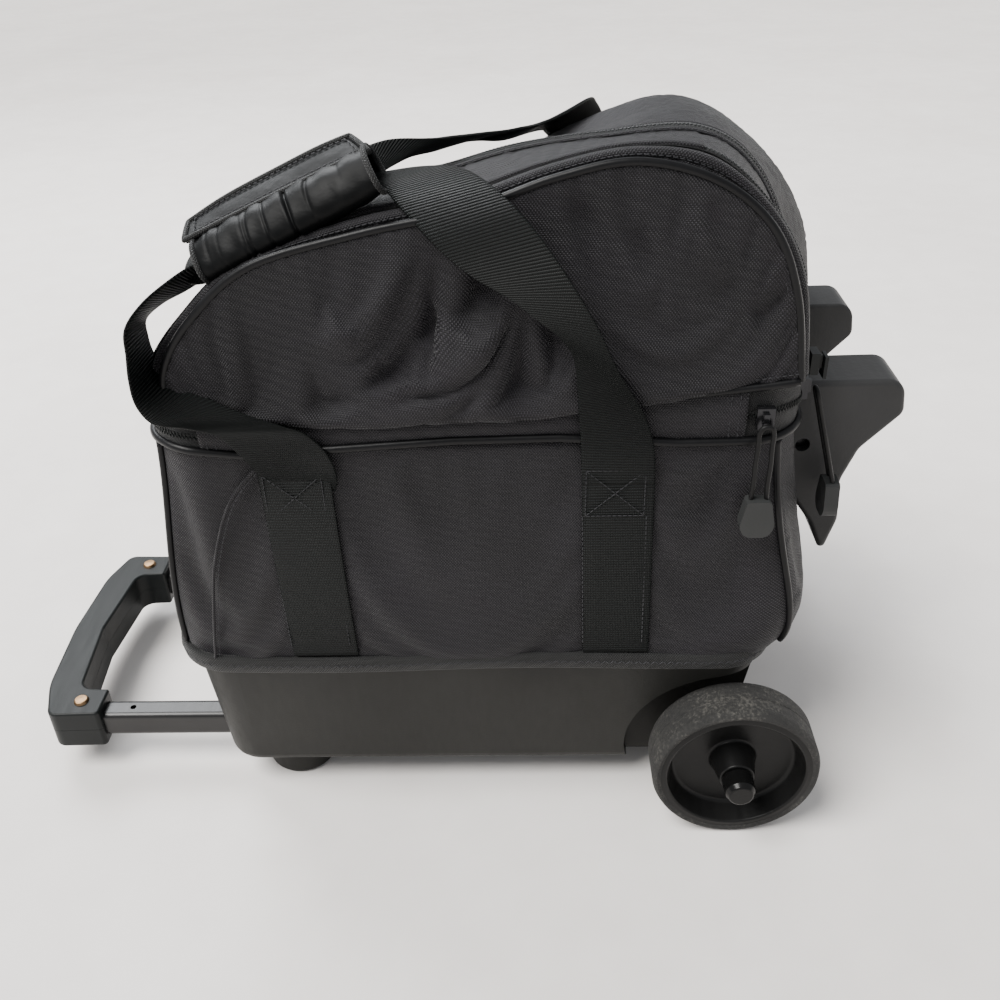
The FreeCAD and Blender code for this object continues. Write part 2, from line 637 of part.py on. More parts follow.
def slider(name, centre, face):
    """A slider body of two plates and a bridge; face is the side of the bag that it sits on."""
    x, y, z = centre
    if face == "near":
        parts = [((x - 4.5, x + 4.5), (y - 5.2, y - 1), (z - 6.5, z + 5.2)),
                 ((x - 1.5, x + 1.5), (y - 7.4, y - 5.2), (z - 4, z + 3))]
    else:
        low = 1 if face == "right" else -5.2
        bridge = 5.2 if face == "right" else -7.4
        parts = [((x + low, x + low + 4.2), (y - 4.5, y + 4.5), (z - 6.5, z + 5.2)),
                 ((x + bridge, x + bridge + 2.2), (y - 1.5, y + 1.5), (z - 4, z + 3))]
    solids = [box(f"{name}_part_{n}", *[(str(low), str(high)) for low, high in spans])
              for n, spans in enumerate(parts)]
    node(fuse(name, solids))


def rounded_path(points, diameter):
    """Straight runs joined by tangent arcs; each arc is as large as its two runs allow."""
    places = [Vector(*point) for point in points]
    edges = []
    radii = []
    last = places[0]
    for before, place, after in zip(places, places[1:], places[2:]):
        back = before - place
        ahead = after - place
        turn = math.pi - back.getAngle(ahead)
        reach = 0.45 * min(back.Length, ahead.Length)
        radius = reach / math.tan(turn / 2)
        radii.append(radius)
        start = place + back.normalize() * reach
        end = place + ahead.normalize() * reach
        inward = (back + ahead).normalize()
        middle = place + inward * (radius / math.cos(turn / 2) - radius)
        edges.append(Part.LineSegment(last, start).toShape())
        edges.append(Part.Arc(start, middle, end).toShape())
        last = end
    edges.append(Part.LineSegment(last, places[-1]).toShape())
    print(f"cord radii {min(radii):.2f} to {max(radii):.2f} mm for a diameter of {diameter}")
    return Part.Wire(edges)


def cord(name, points, diameter):
    """A round cord along a rounded path, checked against its section times its length."""
    path = rounded_path(points, diameter)
    start = Vector(*points[0])
    heading = Vector(*points[1]) - start
    circle = Part.Circle(start, heading, diameter / 2)
    profile = Part.Wire([circle.toShape()])
    shape = path.makePipeShell([profile], True, False)
    expected = path.Length * math.pi * diameter ** 2 / 4
    print(f"{name}: length {path.Length:.1f} mm, volume {shape.Volume:.1f}, expected {expected:.1f}")
    return node(shaped(name, shape))


CORD_DIAMETER = 2.6
# One zip pull's cord, seen from in front of the slider: across and up from the slider's bridge.
LOOP = [(-4.0, -42.0), (-3.5, -34.0), (-3.9, -22.0), (-3.4, -11.0), (-3.9, -3.6), (-1.9, -0.1),
        (1.9, -0.1), (3.9, -3.6), (3.4, -11.0), (4.1, -22.0), (3.5, -34.0), (4.0, -42.0)]


def pull(number, hook, face, lean, stretch):
    """A cord loop through the slider's bridge, with a moulded tab at its lower end."""
    x, y, z = hook
    points = []
    for across, drop in LOOP:
        down = drop * stretch if drop < -20 else drop
        away = 3.0 - lean * down
        if face == "near":
            points.append((x + across, y - away, z + down))
        else:
            points.append((x + away, y + across, z + down))
    cord(f"pull_cord_{number}", points, CORD_DIAMETER)
    tab(f"pull_tab_{number}", points[0], points[-1], face)


def tab(name, first, last, face):
    """A flared tab with rounded corners, under both ends of the cord."""
    x = (first[0] + last[0]) / 2
    y = (first[1] + last[1]) / 2
    top = first[2] - 0.4
    front = [(-6.3, top, 2), (-9.2, top - 15, 8), (-6.5, top - 22, 6), (6.5, top - 22, 6), (9.2, top - 15, 8),
             (6.3, top, 2)]
    if face == "near":
        loop = outline([(x + across, up, radius) for across, up, radius in front])
        return node(pad(name, "XZ_Plane", [loop], (str(y - 4), str(y + 4))))
    loop = outline([(y + across, up, radius) for across, up, radius in front])
    return node(pad(name, "YZ_Plane", [loop], (str(x - 4), str(x + 4))))


def zips():
    slider("zip_slider_1", (182, -122.5, 286), "near")
    slider("zip_slider_2", (205.3, -91, 286), "right")
    pull(1, (182, -129.9, 284), "near", 0.0, 1.0)
    pull(2, (212.7, -91, 284), "right", 0.28, 1.35)
    slider("compartment_zip_slider", (205.3, -60, 306), "right")
    slider("pocket_zip_slider", (205.3, -103, 306), "right")
    node(box("compartment_zip_pull", ("213.4", "215.1"), ("-64", "-56"), ("281", "309")))
    node(box("pocket_zip_pull", ("213.4", "215.1"), ("-107", "-99"), ("297", "309")))


def build():
    base_tub()
    feet()
    axle()
    ball_cup()
    wheels()
    tow_handle()
    lower_body()
    main_zip()
    strap_legs()
    stand_arms()
    dome()
    carry_handle()
    zips()
    doc.recompute()


def check():
    """Stops unless every object and every sub-part came out sound."""
    faults = [f"{each.Label}: {each.State}" for each in doc.Objects
              if "Invalid" in each.State or "Error" in each.State]
    for piece in NODES:
        if piece.Shape.isNull() or not piece.Shape.isValid() or not piece.Shape.Solids:
            faults.append(f"{piece.Label}: no sound solid")
    if faults:
        raise SystemExit("\n".join(faults))


def write():
    os.makedirs("parts", exist_ok=True)
    for piece in NODES:
        piece.Shape.exportStep(f"parts/{piece.Label}.step")
    print(f"{len(NODES)} sub-parts written")


build()
check()
write()
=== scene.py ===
"""The looks of a roller bowling bag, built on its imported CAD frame.

Lengths in this script are millimetres in the row frame and turn into metres when a mesh is made.
+X runs from the tow handle to the wheels, -Y is the near side, +Z is up, and the floor is z = 0.
"""
import bpy
import math
import numpy as np
from mathutils import Matrix, Vector


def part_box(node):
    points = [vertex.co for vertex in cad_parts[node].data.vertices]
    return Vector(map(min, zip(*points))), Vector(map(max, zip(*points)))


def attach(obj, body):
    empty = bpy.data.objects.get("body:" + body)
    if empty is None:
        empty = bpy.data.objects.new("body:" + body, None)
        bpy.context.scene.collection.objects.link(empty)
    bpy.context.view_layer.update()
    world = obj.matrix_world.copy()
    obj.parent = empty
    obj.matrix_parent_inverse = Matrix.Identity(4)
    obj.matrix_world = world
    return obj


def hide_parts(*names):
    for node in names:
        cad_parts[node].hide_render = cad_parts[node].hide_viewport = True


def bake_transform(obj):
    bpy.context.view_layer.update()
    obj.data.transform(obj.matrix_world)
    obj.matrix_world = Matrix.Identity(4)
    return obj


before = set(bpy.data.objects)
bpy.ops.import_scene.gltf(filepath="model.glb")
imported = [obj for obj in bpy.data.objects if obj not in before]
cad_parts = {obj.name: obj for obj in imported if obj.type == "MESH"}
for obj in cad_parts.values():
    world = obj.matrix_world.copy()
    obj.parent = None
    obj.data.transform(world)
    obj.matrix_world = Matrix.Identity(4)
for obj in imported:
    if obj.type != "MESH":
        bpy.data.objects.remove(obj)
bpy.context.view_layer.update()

MM = 0.001
SEED = 7
rng = np.random.default_rng(SEED)


def span(*nodes):
    """Lowest and highest corner of some CAD nodes together, in millimetres."""
    boxes = [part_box(node) for node in nodes]
    low = np.min([np.array(low) for low, _ in boxes], axis=0) / MM
    high = np.max([np.array(high) for _, high in boxes], axis=0) / MM
    return low, high


WALL_LOW, WALL_HIGH = span("near_side_panel", "far_side_panel", "left_end_panel", "right_end_panel")
LEFT, NEAR, HEM = WALL_LOW
RIGHT, FAR, WALL_TOP = WALL_HIGH
LID = span("door_crown", "lid_crown")[0][2]
DOOR_FRONT, DOOR_BACK = span("door_back_panel")[0][1], span("door_crown")[1][1]
PIPING = (WALL_TOP + span("lower_piping")[1][2]) / 2
ZIP = (span("main_zip_lower")[1][2] + span("main_zip_upper")[0][2]) / 2 + 0.5
LEGS_LOW, LEGS_HIGH = span("near_strap_legs")
STRAP = 38.0
LEG_CENTRES = (LEGS_LOW[0] + STRAP / 2, LEGS_HIGH[0] - STRAP / 2)
OUTWARD = (0, -1, 0)    # from the near side towards whoever stands there


# ------------------------------------------------------------------ curves and meshes

def smooth(points, count, closed=False):
    """A Catmull-Rom curve through points, at evenly spaced lengths along it."""
    p = np.asarray(points, float)
    if closed:
        padded = np.vstack([p[-1], p, p[0], p[1]])
    else:
        padded = np.vstack([2 * p[0] - p[1], p, 2 * p[-1] - p[-2]])
    fine = []
    for i in range(len(padded) - 3):
        a, b, c, d = padded[i:i + 4]
        for t in np.linspace(0, 1, 24, endpoint=False):
            fine.append(0.5 * (2 * b + (c - a) * t + (2 * a - 5 * b + 4 * c - d) * t ** 2
                               + (3 * b - a - 3 * c + d) * t ** 3))
    fine.append(p[0] if closed else p[-1])
    return evenly(np.array(fine), count, closed)


def run_of(points):
    """How far along a polyline each of its points lies."""
    return np.concatenate([[0], np.cumsum(np.linalg.norm(np.diff(points, axis=0), axis=1))])


def read_at(wanted, along, values):
    """Each column of values, read off at the wanted lengths."""
    return np.stack([np.interp(wanted, along, values[:, k]) for k in range(values.shape[1])], axis=1)


def evenly(points, count, closed=False):
    """Points at equal steps along a polyline. A closed one doesn't repeat its first point."""
    p = np.asarray(points, float)
    along = run_of(p)
    if closed:
        return read_at(np.linspace(0, along[-1], count, endpoint=False), along, p)
    return read_at(np.linspace(0, along[-1], count), along, p)


def unit(v):
    v = np.asarray(v, float)
    return v / np.maximum(np.linalg.norm(v, axis=-1, keepdims=True), 1e-9)


def step(x, low, high):
    """0 below low, 1 above high and smooth between."""
    t = np.clip((np.asarray(x, float) - low) / (high - low), 0, 1)
    return t * t * (3 - 2 * t)


def hump(x, centre, width):
    return np.exp(-((np.asarray(x, float) - centre) / width) ** 2)


def pairs(first, second):
    """A grid of (first, second) pairs."""
    return np.stack(np.meshgrid(first, second, indexing="ij"), axis=-1)


def mesh_object(name, points, faces, material, uv=None):
    """A smooth-shaded mesh from millimetre points. uv is one millimetre pair per point."""
    mesh = bpy.data.meshes.new(name)
    places = [tuple(p) for p in np.asarray(points, float) * MM]
    mesh.from_pydata(places, [], [tuple(map(int, f)) for f in faces])
    mesh.update()
    if uv is not None:
        layer = mesh.uv_layers.new(name="cloth")
        index = np.zeros(len(mesh.loops), np.int32)
        mesh.loops.foreach_get("vertex_index", index)
        uv = np.asarray(uv, float).reshape(-1, 2) * MM
        layer.data.foreach_set("uv", uv[index].astype(np.float32).ravel())
    mesh.polygons.foreach_set("use_smooth", [True] * len(mesh.polygons))
    obj = bpy.data.objects.new(name, mesh)
    bpy.context.scene.collection.objects.link(obj)
    mesh.materials.append(material)
    return obj


def grid_faces(rows, columns, closed=False):
    """Quads of a rows by columns grid; closed joins the last column to the first."""
    wide = columns if closed else columns - 1
    r, c = np.meshgrid(np.arange(rows - 1), np.arange(wide), indexing="ij")
    nxt = (c + 1) % columns
    quads = np.stack([r * columns + c, r * columns + nxt,
                      (r + 1) * columns + nxt, (r + 1) * columns + c], axis=-1)
    return quads.reshape(-1, 4)


def grid_object(name, grid, material, uv, closed=False):
    rows, columns = grid.shape[:2]
    return mesh_object(name, grid.reshape(-1, 3), grid_faces(rows, columns, closed), material, uv)


def frames_along(path, normals, closed=False):
    """Tangent, side and normal at each point of a path."""
    if closed:
        tangent = unit(np.roll(path, -1, axis=0) - np.roll(path, 1, axis=0))
    else:
        tangent = unit(np.gradient(path, axis=0))
    normals = np.broadcast_to(np.asarray(normals, float), path.shape)
    normal = unit(normals - (normals * tangent).sum(1, keepdims=True) * tangent)
    return tangent, np.cross(tangent, normal), normal


def skin(name, rings, along, around, material, closed=False):
    """A mesh over a row of rings, joined end to end or capped. Its uv is the length along and around."""
    count, sides = rings.shape[:2]
    last = (count - 1) * sides
    faces = [tuple(f) for f in grid_faces(count, sides, closed=True)]
    if closed:
        faces += [(last + c, last + (c + 1) % sides, (c + 1) % sides, c) for c in range(sides)]
    else:
        faces += [tuple(range(sides))[::-1], tuple(range(last, last + sides))]
    return mesh_object(name, rings.reshape(-1, 3), faces, material, pairs(along, around))


def swept(name, path, normals, profile, material, closed=False):
    """A closed profile of (side, lift) pairs swept along a path."""
    path, profile = np.asarray(path, float), np.asarray(profile, float)
    _, side, normal = frames_along(path, normals, closed)
    rings = path[:, None] + side[:, None] * profile[None, :, :1] + normal[:, None] * profile[None, :, 1:]
    return skin(name, rings, run_of(path), run_of(profile), material, closed)


def tube(name, path, radius, material, normals, closed=False, sides=10, flat=1.0):
    turn = np.linspace(0, 2 * math.pi, sides, endpoint=False)
    profile = np.stack([np.cos(turn) * radius, np.sin(turn) * radius * flat], axis=1)
    return swept(name, path, normals, profile, material, closed)


def strew(name, length, radius, places, material):
    """Small rounded bars at (origin, x axis, y axis, z axis) places, each along its x axis, as one mesh."""
    sides, rings = 6, 5
    across = np.linspace(-math.pi / 2, math.pi / 2, rings)
    x = np.sin(across) * length / 2
    r = np.maximum(np.cos(across) ** 0.6, 0.25) * radius
    turn = np.linspace(0, 2 * math.pi, sides, endpoint=False)
    bar = np.stack([np.repeat(x, sides), np.outer(r, np.cos(turn)).ravel(),
                    np.outer(r, np.sin(turn)).ravel()], axis=1)
    faces = grid_faces(rings, sides, closed=True)
    origins, xs, ys, zs = places
    points = (origins[:, None] + bar[None, :, :1] * xs[:, None] + bar[None, :, 1:2] * ys[:, None]
              + bar[None, :, 2:] * zs[:, None])
    many = (faces[None] + (np.arange(len(origins)) * len(bar))[:, None, None]).reshape(-1, 4)
    return mesh_object(name, points.reshape(-1, 3), many, material)


def spaced(path, normals, pitch, closed=False):
    """Places a pitch apart on a path: points, tangents, sides, normals, and 1 and -1 in turn."""
    path = np.asarray(path, float)
    both = np.hstack([path, np.broadcast_to(np.asarray(normals, float), path.shape)])
    if closed:
        both = np.vstack([both, both[:1]])
    total = float(np.linalg.norm(np.diff(both[:, :3], axis=0), axis=1).sum())
    count = max(int(total / pitch), 2)
    found = read_at((np.arange(count) + 0.5) * total / count, run_of(both[:, :3]), both)
    turns = np.where(np.arange(count) % 2 == 0, 1.0, -1.0)[:, None]
    return (found[:, :3], *frames_along(found[:, :3], found[:, 3:]), turns)


def stitches(name, path, normals, pitch=3.2, length=2.5, radius=0.3, zigzag=0.0, closed=False):
    """A row of thread stitches on a path; zigzag swings them to each side."""
    points, tangent, side, normal, turns = spaced(path, normals, pitch, closed)
    swing = turns * zigzag if zigzag else rng.normal(0, 0.05, (len(points), 1))
    axis = unit(tangent + side * swing)
    return strew(name, length, radius, (points + normal * 0.1, axis, np.cross(normal, axis), normal), THREAD)


def coil(name, path, normals, pitch=1.0, reach=1.6):
    """A zip's coil: two rows of bent loops that meet in the middle."""
    points, tangent, side, normal, turns = spaced(path, normals, pitch)
    axis = unit(side * turns + tangent * 0.18)
    origin = points + side * turns * (reach / 2 + 0.1) + normal * 0.5
    return strew(name, reach + 0.7, 0.42, (origin, axis, np.cross(normal, axis), normal), COIL)


def ribbon(name, left_edge, right_edge, thickness=1.5, count=140, ripple=0.0):
    """A webbing strap between paired points of its two edges, with rounded selvages."""
    edges = smooth(np.hstack([np.asarray(left_edge, float), np.asarray(right_edge, float)]), count)
    left, right = edges[:, :3], edges[:, 3:]
    middle = (left + right) / 2
    tangent = unit(np.gradient(middle, axis=0))
    normal = unit(np.cross(right - left, tangent))
    along = run_of(middle)
    wave = ripple * np.sin(along / 11 + 1)[:, None]
    shares = np.array([-0.5, -0.49, -0.46, -0.25, 0, 0.25, 0.46, 0.49, 0.5])
    lifts = np.array([0.35, 0.8, 1, 1, 1, 1, 1, 0.8, 0.35]) * (thickness / 2)
    profile = list(zip(shares, lifts)) + list(zip(shares[::-1], -lifts[::-1]))
    rings = np.stack([middle + (right - left) * share + normal * (lift + wave * share)
                      for share, lift in profile], axis=1)
    return skin(name, rings, along, np.array([share for share, _ in profile]) * STRAP, WEBBING)


def strap_round(name, centres, across, count):
    """A strap whose centre line and direction across are given point by point."""
    centres = np.asarray(centres, float)
    sideways = unit(across) * STRAP / 2
    return ribbon(name, centres - sideways, centres + sideways, count=count, ripple=0.4)


def settle(obj, pins, frames, slack, bending, pressure=0.0, gravity=1.0):
    """Lets a cloth mesh hang from its pinned points and keeps the shape it reaches."""
    scene = bpy.context.scene
    group = obj.vertex_groups.new(name="pins")
    for index, weight in enumerate(pins.ravel()):
        if weight > 0:
            group.add([index], float(min(weight, 1)), "REPLACE")
    cloth = obj.modifiers.new("settle", "CLOTH")
    settings = cloth.settings
    for name, value in (("quality", 5), ("mass", 0.25), ("tension_stiffness", 20),
                        ("compression_stiffness", 20), ("shear_stiffness", 10),
                        ("bending_stiffness", bending), ("tension_damping", 15),
                        ("bending_damping", 1.0), ("air_damping", 4.0), ("vertex_group_mass", "pins"),
                        ("pin_stiffness", 2.0), ("shrink_min", -slack), ("use_pressure", pressure > 0),
                        ("uniform_pressure_force", pressure)):
        setattr(settings, name, value)
    settings.effector_weights.gravity = gravity
    cloth.collision_settings.use_collision = False
    cloth.collision_settings.use_self_collision = False
    cloth.point_cache.frame_start = 1
    cloth.point_cache.frame_end = frames
    for number in range(1, frames + 1):
        scene.frame_set(number)
    settled = bpy.data.meshes.new_from_object(obj.evaluated_get(bpy.context.evaluated_depsgraph_get()))
    obj.modifiers.clear()
    obj.data = settled
    scene.frame_set(1)


def thicken(obj, thickness):
    """Gives a cloth shell an inner face, so that it has a real edge where it opens."""
    solid = obj.modifiers.new("thickness", "SOLIDIFY")
    solid.thickness = thickness * MM
    solid.offset = -1
    solid.use_even_offset = False


def keep(obj, body):
    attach(obj, body)
    return obj


# ------------------------------------------------------------------ materials

class Nodes:
    """Short calls for building a material's node tree."""

    def __init__(self, name):
        self.material = bpy.data.materials.new(name)
        self.material.use_nodes = True
        self.tree = self.material.node_tree
        self.shader = self.tree.nodes["Principled BSDF"]

    def put(self, socket, value):
        """Sets an input socket to a number, or links another socket to it."""
        if isinstance(value, bpy.types.NodeSocket):
            self.tree.links.new(value, socket)
        elif value is not None:
            socket.default_value = value

    def add(self, kind, **values):
        made = self.tree.nodes.new("ShaderNode" + kind)
        for key, value in values.items():
            if key in made.inputs:
                self.put(made.inputs[key], value)
            else:
                setattr(made, key, value)
        return made

    def math(self, operation, first, second):
        made = self.add("Math", operation=operation)
        self.put(made.inputs[0], first)
        self.put(made.inputs[1], second)
        return made.outputs[0]

    def total(self, *terms):
        """The sum of some terms, each a socket, a number, or a (socket, weight) pair."""
        result = None
        for term in terms:
            value = self.math("MULTIPLY", *term) if isinstance(term, tuple) else term
            result = value if result is None else self.math("ADD", result, value)
        return result

    def coordinates(self, kind="Object"):
        return self.add("TexCoord").outputs[kind]

    def stretched(self, vector, scale, turn=0.0):
        return self.add("Mapping", Vector=vector, Scale=scale, Rotation=(0, 0, math.radians(turn))).outputs[0]

    def noise(self, vector, scale, detail=3.0, roughness=0.55):
        made = self.add("TexNoise", Vector=vector, Scale=scale, Detail=detail, Roughness=roughness)
        return made.outputs["Fac"]

    def waves(self, vector, pitch, direction="X", distortion=0.0):
        """Bands a pitch in millimetres apart, on coordinates in metres."""
        made = self.add("TexWave", wave_type="BANDS", bands_direction=direction, wave_profile="SIN",
                        Vector=vector, Scale=2 * math.pi / (pitch * MM) / 20, Distortion=distortion)
        return made.outputs["Fac"]

    def ramp(self, factor, stops):
        made = self.add("ValToRGB", Fac=factor)
        elements = made.color_ramp.elements
        elements[0].position, elements[0].color = stops[0][0], (*stops[0][1], 1)
        elements[1].position, elements[1].color = stops[-1][0], (*stops[-1][1], 1)
        for place, colour in stops[1:-1]:
            elements.new(place).color = (*colour, 1)
        return made.outputs["Color"]

    def bump(self, height, strength, distance, after=None):
        made = self.add("Bump", Height=height, Strength=strength, Distance=distance, Normal=after)
        return made.outputs["Normal"]

    def finish(self, colour, roughness, normal=None, **constants):
        for name, value in constants.items():
            self.put(self.shader.inputs[name.replace("_", " ")], value)
        for socket, source in (("Base Color", colour), ("Roughness", roughness), ("Normal", normal)):
            self.put(self.shader.inputs[socket], source)
        return self.material


def woven_cloth(name, dark, light, pitch=1.15, sheen=0.10):
    """Coarse coated nylon: a diagonal weave of shining yarns, faint streaks and a little lint."""
    n = Nodes(name)
    uv = n.coordinates("UV")
    place = n.coordinates()
    warp = n.waves(n.stretched(uv, (1, 1, 1), 38), pitch, "X", 0.25)
    weft = n.waves(n.stretched(uv, (1, 1, 1), -38), pitch * 1.1, "X", 0.25)
    height = n.total(n.math("MULTIPLY", warp, weft), (n.waves(uv, pitch * 0.72, "Y", 0.2), 0.3))
    patches = n.noise(place, 11, 4)
    streaks = n.noise(n.stretched(uv, (30, 900, 1)), 1.0, 2)
    lint = n.math("GREATER_THAN", n.noise(place, 1100, 1), 0.82)
    tone = n.total((height, 0.42), (patches, 0.34), (streaks, 0.18), (lint, 0.6))
    normal = n.bump(n.noise(place, 190, 3), 0.2, 0.0008, n.bump(height, 0.9, 0.0004))
    return n.finish(n.ramp(tone, [(0.3, dark), (0.95, light)]), n.total((patches, 0.2), 0.45), normal,
                    Sheen_Weight=sheen, Sheen_Roughness=0.3, Specular_IOR_Level=0.22)


def ribbed_webbing(name):
    """Nylon webbing: ribs across the strap, broken into yarns along it."""
    n = Nodes(name)
    uv = n.coordinates("UV")
    ribs = n.waves(uv, 1.7, "X", 0.25)
    height = n.total(ribs, (n.math("MULTIPLY", ribs, n.waves(uv, 0.9, "Y", 0.1)), 0.5))
    patches = n.noise(n.coordinates(), 26, 3)
    tone = n.total((height, 0.5), (patches, 0.3))
    colour = n.ramp(tone, [(0.2, (0.0008, 0.001, 0.001)), (1.0, (0.010, 0.0122, 0.0118))])
    return n.finish(colour, n.total((patches, 0.2), 0.34), n.bump(height, 0.9, 0.0006),
                    Specular_IOR_Level=0.12)


def smooth_nylon(name):
    """The wrap's thin smooth nylon, with fine creases."""
    n = Nodes(name)
    place = n.coordinates()
    creases = n.noise(n.stretched(place, (60, 60, 120)), 1.0, 3, 0.5)
    weave = n.waves(n.coordinates("UV"), 0.6, "X", 0.2)
    colour = n.ramp(n.noise(place, 18, 4), [(0.2, (0.0010, 0.0011, 0.0012)), (0.9, (0.004, 0.0043, 0.0046))])
    normal = n.bump(weave, 0.2, 0.0001, n.bump(creases, 0.3, 0.002))
    return n.finish(colour, n.total((creases, 0.25), 0.34), normal, Specular_IOR_Level=0.09)


def moulded(name, dark, light, rough, grain=700, depth=0.0002, dust=0.0):
    """Moulded plastic with a fine grain, soft blotches, scuffs and a little dust."""
    n = Nodes(name)
    place = n.coordinates()
    scuffs = n.noise(n.stretched(place, (220, 18, 60), 12), 1.0, 6, 0.7)
    tone = n.total((n.noise(place, 14, 4), 0.75), (scuffs, 0.15))
    if dust:
        tone = n.total(tone, (n.math("GREATER_THAN", n.noise(place, 1500, 2), 0.66), dust))
    return n.finish(n.ramp(tone, [(0.2, dark), (0.95, light)]), n.total((scuffs, 0.3), rough - 0.12),
                    n.bump(n.noise(place, grain, 2), 0.3, depth), Specular_IOR_Level=0.16)


def tyre_rubber(name):
    """Solid tyre: dusty, with a scuffed tread."""
    n = Nodes(name)
    place = n.coordinates()
    grit = n.noise(place, 520, 4, 0.7)
    tone = n.total((grit, 0.7), (n.noise(place, 40, 4), 0.5))
    stops = [(0.42, (0.004, 0.004, 0.004)), (0.64, (0.014, 0.0135, 0.0125)), (0.85, (0.09, 0.085, 0.075))]
    return n.finish(n.ramp(tone, stops), 0.85, n.bump(grit, 0.9, 0.0014))


def metal(name, colour, rough, metallic=1.0):
    """Metal with fine lengthwise brushing and wear."""
    n = Nodes(name)
    place = n.coordinates()
    lines = n.noise(n.stretched(place, (2000, 30, 30)), 1.0, 3)
    wear = n.noise(place, 60, 4)
    dark = tuple(c * 0.7 for c in colour)
    light = tuple(min(c * 1.35, 1) for c in colour)
    tint = n.ramp(n.total((lines, 0.5), (wear, 0.5)), [(0.3, dark), (0.75, light)])
    return n.finish(tint, n.total((lines, 0.2), rough - 0.08), n.bump(wear, 0.08, 0.0005), Metallic=metallic)


FABRIC = woven_cloth("coated_nylon", (0.0010, 0.0009, 0.0013), (0.036, 0.033, 0.040))
LINING = woven_cloth("lining_cloth", (0.003, 0.003, 0.0035), (0.015, 0.015, 0.016), pitch=0.6)
WEBBING = ribbed_webbing("ribbed_webbing")
WRAP_CLOTH = smooth_nylon("wrap_nylon")
VINYL = moulded("piping_vinyl", (0.0015, 0.0015, 0.0018), (0.009, 0.009, 0.010), 0.36, grain=300)
TAPE = woven_cloth("zip_tape_weave", (0.0015, 0.0015, 0.0018), (0.013, 0.014, 0.0145), pitch=0.7)
BINDING = woven_cloth("binding_tape", (0.004, 0.004, 0.004), (0.034, 0.035, 0.035), pitch=1.1, sheen=0.12)
THREAD = moulded("thread", (0.014, 0.014, 0.016), (0.06, 0.06, 0.064), 0.5, grain=1500)
COIL = moulded("zip_coil", (0.0015, 0.002, 0.002), (0.013, 0.016, 0.016), 0.30, grain=1500)
TUB = moulded("tub_plastic_grain", (0.008, 0.008, 0.0072), (0.021, 0.021, 0.019), 0.46, grain=900, dust=0.05)
WHEEL = moulded("wheel_plastic_gloss", (0.002, 0.002, 0.002), (0.010, 0.010, 0.010), 0.34,
                grain=500, dust=0.2)
CAP = moulded("cap_gloss", (0.002, 0.002, 0.002), (0.007, 0.007, 0.007), 0.2, dust=0.12)
TYRE = tyre_rubber("dusty_tyre")
GRIP = moulded("grip_grain", (0.005, 0.006, 0.006), (0.015, 0.017, 0.017), 0.40, grain=1300, dust=0.1)
ARM = moulded("arm_grain", (0.012, 0.012, 0.012), (0.044, 0.044, 0.045), 0.40,
              grain=420, depth=0.0004, dust=0.1)
TAB = moulded("tab_plastic", (0.016, 0.017, 0.017), (0.042, 0.043, 0.043), 0.38, grain=1500)
FOAM = moulded("closed_cell_foam", (0.006, 0.006, 0.006), (0.015, 0.015, 0.015), 0.9, grain=300, depth=0.001)
TUBE_METAL = metal("painted_tube", (0.008, 0.0078, 0.008), 0.30, metallic=0.25)
RIVET = metal("bronze_rivet", (0.26, 0.165, 0.09), 0.40)
STEEL = metal("plain_steel", (0.5, 0.5, 0.49), 0.35)
CORD = moulded("braided_cord", (0.001, 0.001, 0.001), (0.012, 0.012, 0.0125), 0.42, grain=1800, depth=0.0008)
BLACK_CHROME = metal("black_chrome", (0.020, 0.020, 0.022), 0.18, metallic=0.7)


def dress(material, *nodes):
    """Gives CAD nodes that stay their material."""
    for name in nodes:
        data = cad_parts[name].data
        data.materials.clear()
        data.materials.append(material)


def dress_cad_nodes():
    dress(TUB, "base_tub", "near_foot", "far_foot", "axle_sleeve")
    dress(STEEL, "foot_screws", "axle")
    dress(BLACK_CHROME, "stand_arm_screw_near", "stand_arm_screw_far")
    dress(FOAM, "ball_cup")
    dress(TUBE_METAL, *(f"{stage}_tube_{side}"
                        for stage in ("outer", "middle", "inner") for side in ("near", "far")))
    dress(CAP, "axle_cap_near", "axle_cap_far")
    dress(ARM, "stand_arm_near", "stand_arm_far")
    dress(WHEEL, "near_wheel_rim", "far_wheel_rim")
    dress(TYRE, "near_wheel_tyre", "far_wheel_tyre")
    dress(GRIP, "grip_lower", "grip_upper")
    dress(RIVET, "grip_rivets")
    dress(TAB, "pull_tab_1", "pull_tab_2")
    dress(BLACK_CHROME, "zip_slider_1", "zip_slider_2", "compartment_zip_slider", "compartment_zip_pull")
    dress(COIL, "pocket_zip_slider", "pocket_zip_pull")


# ------------------------------------------------------------------ stage, light, camera

CAMERA_PLACE = (63.05, -584.5, 536.7)
CAMERA_TURN = (33.0, -1.906, -1.891)    # down, round and tilt, in degrees
SKY = 0.72


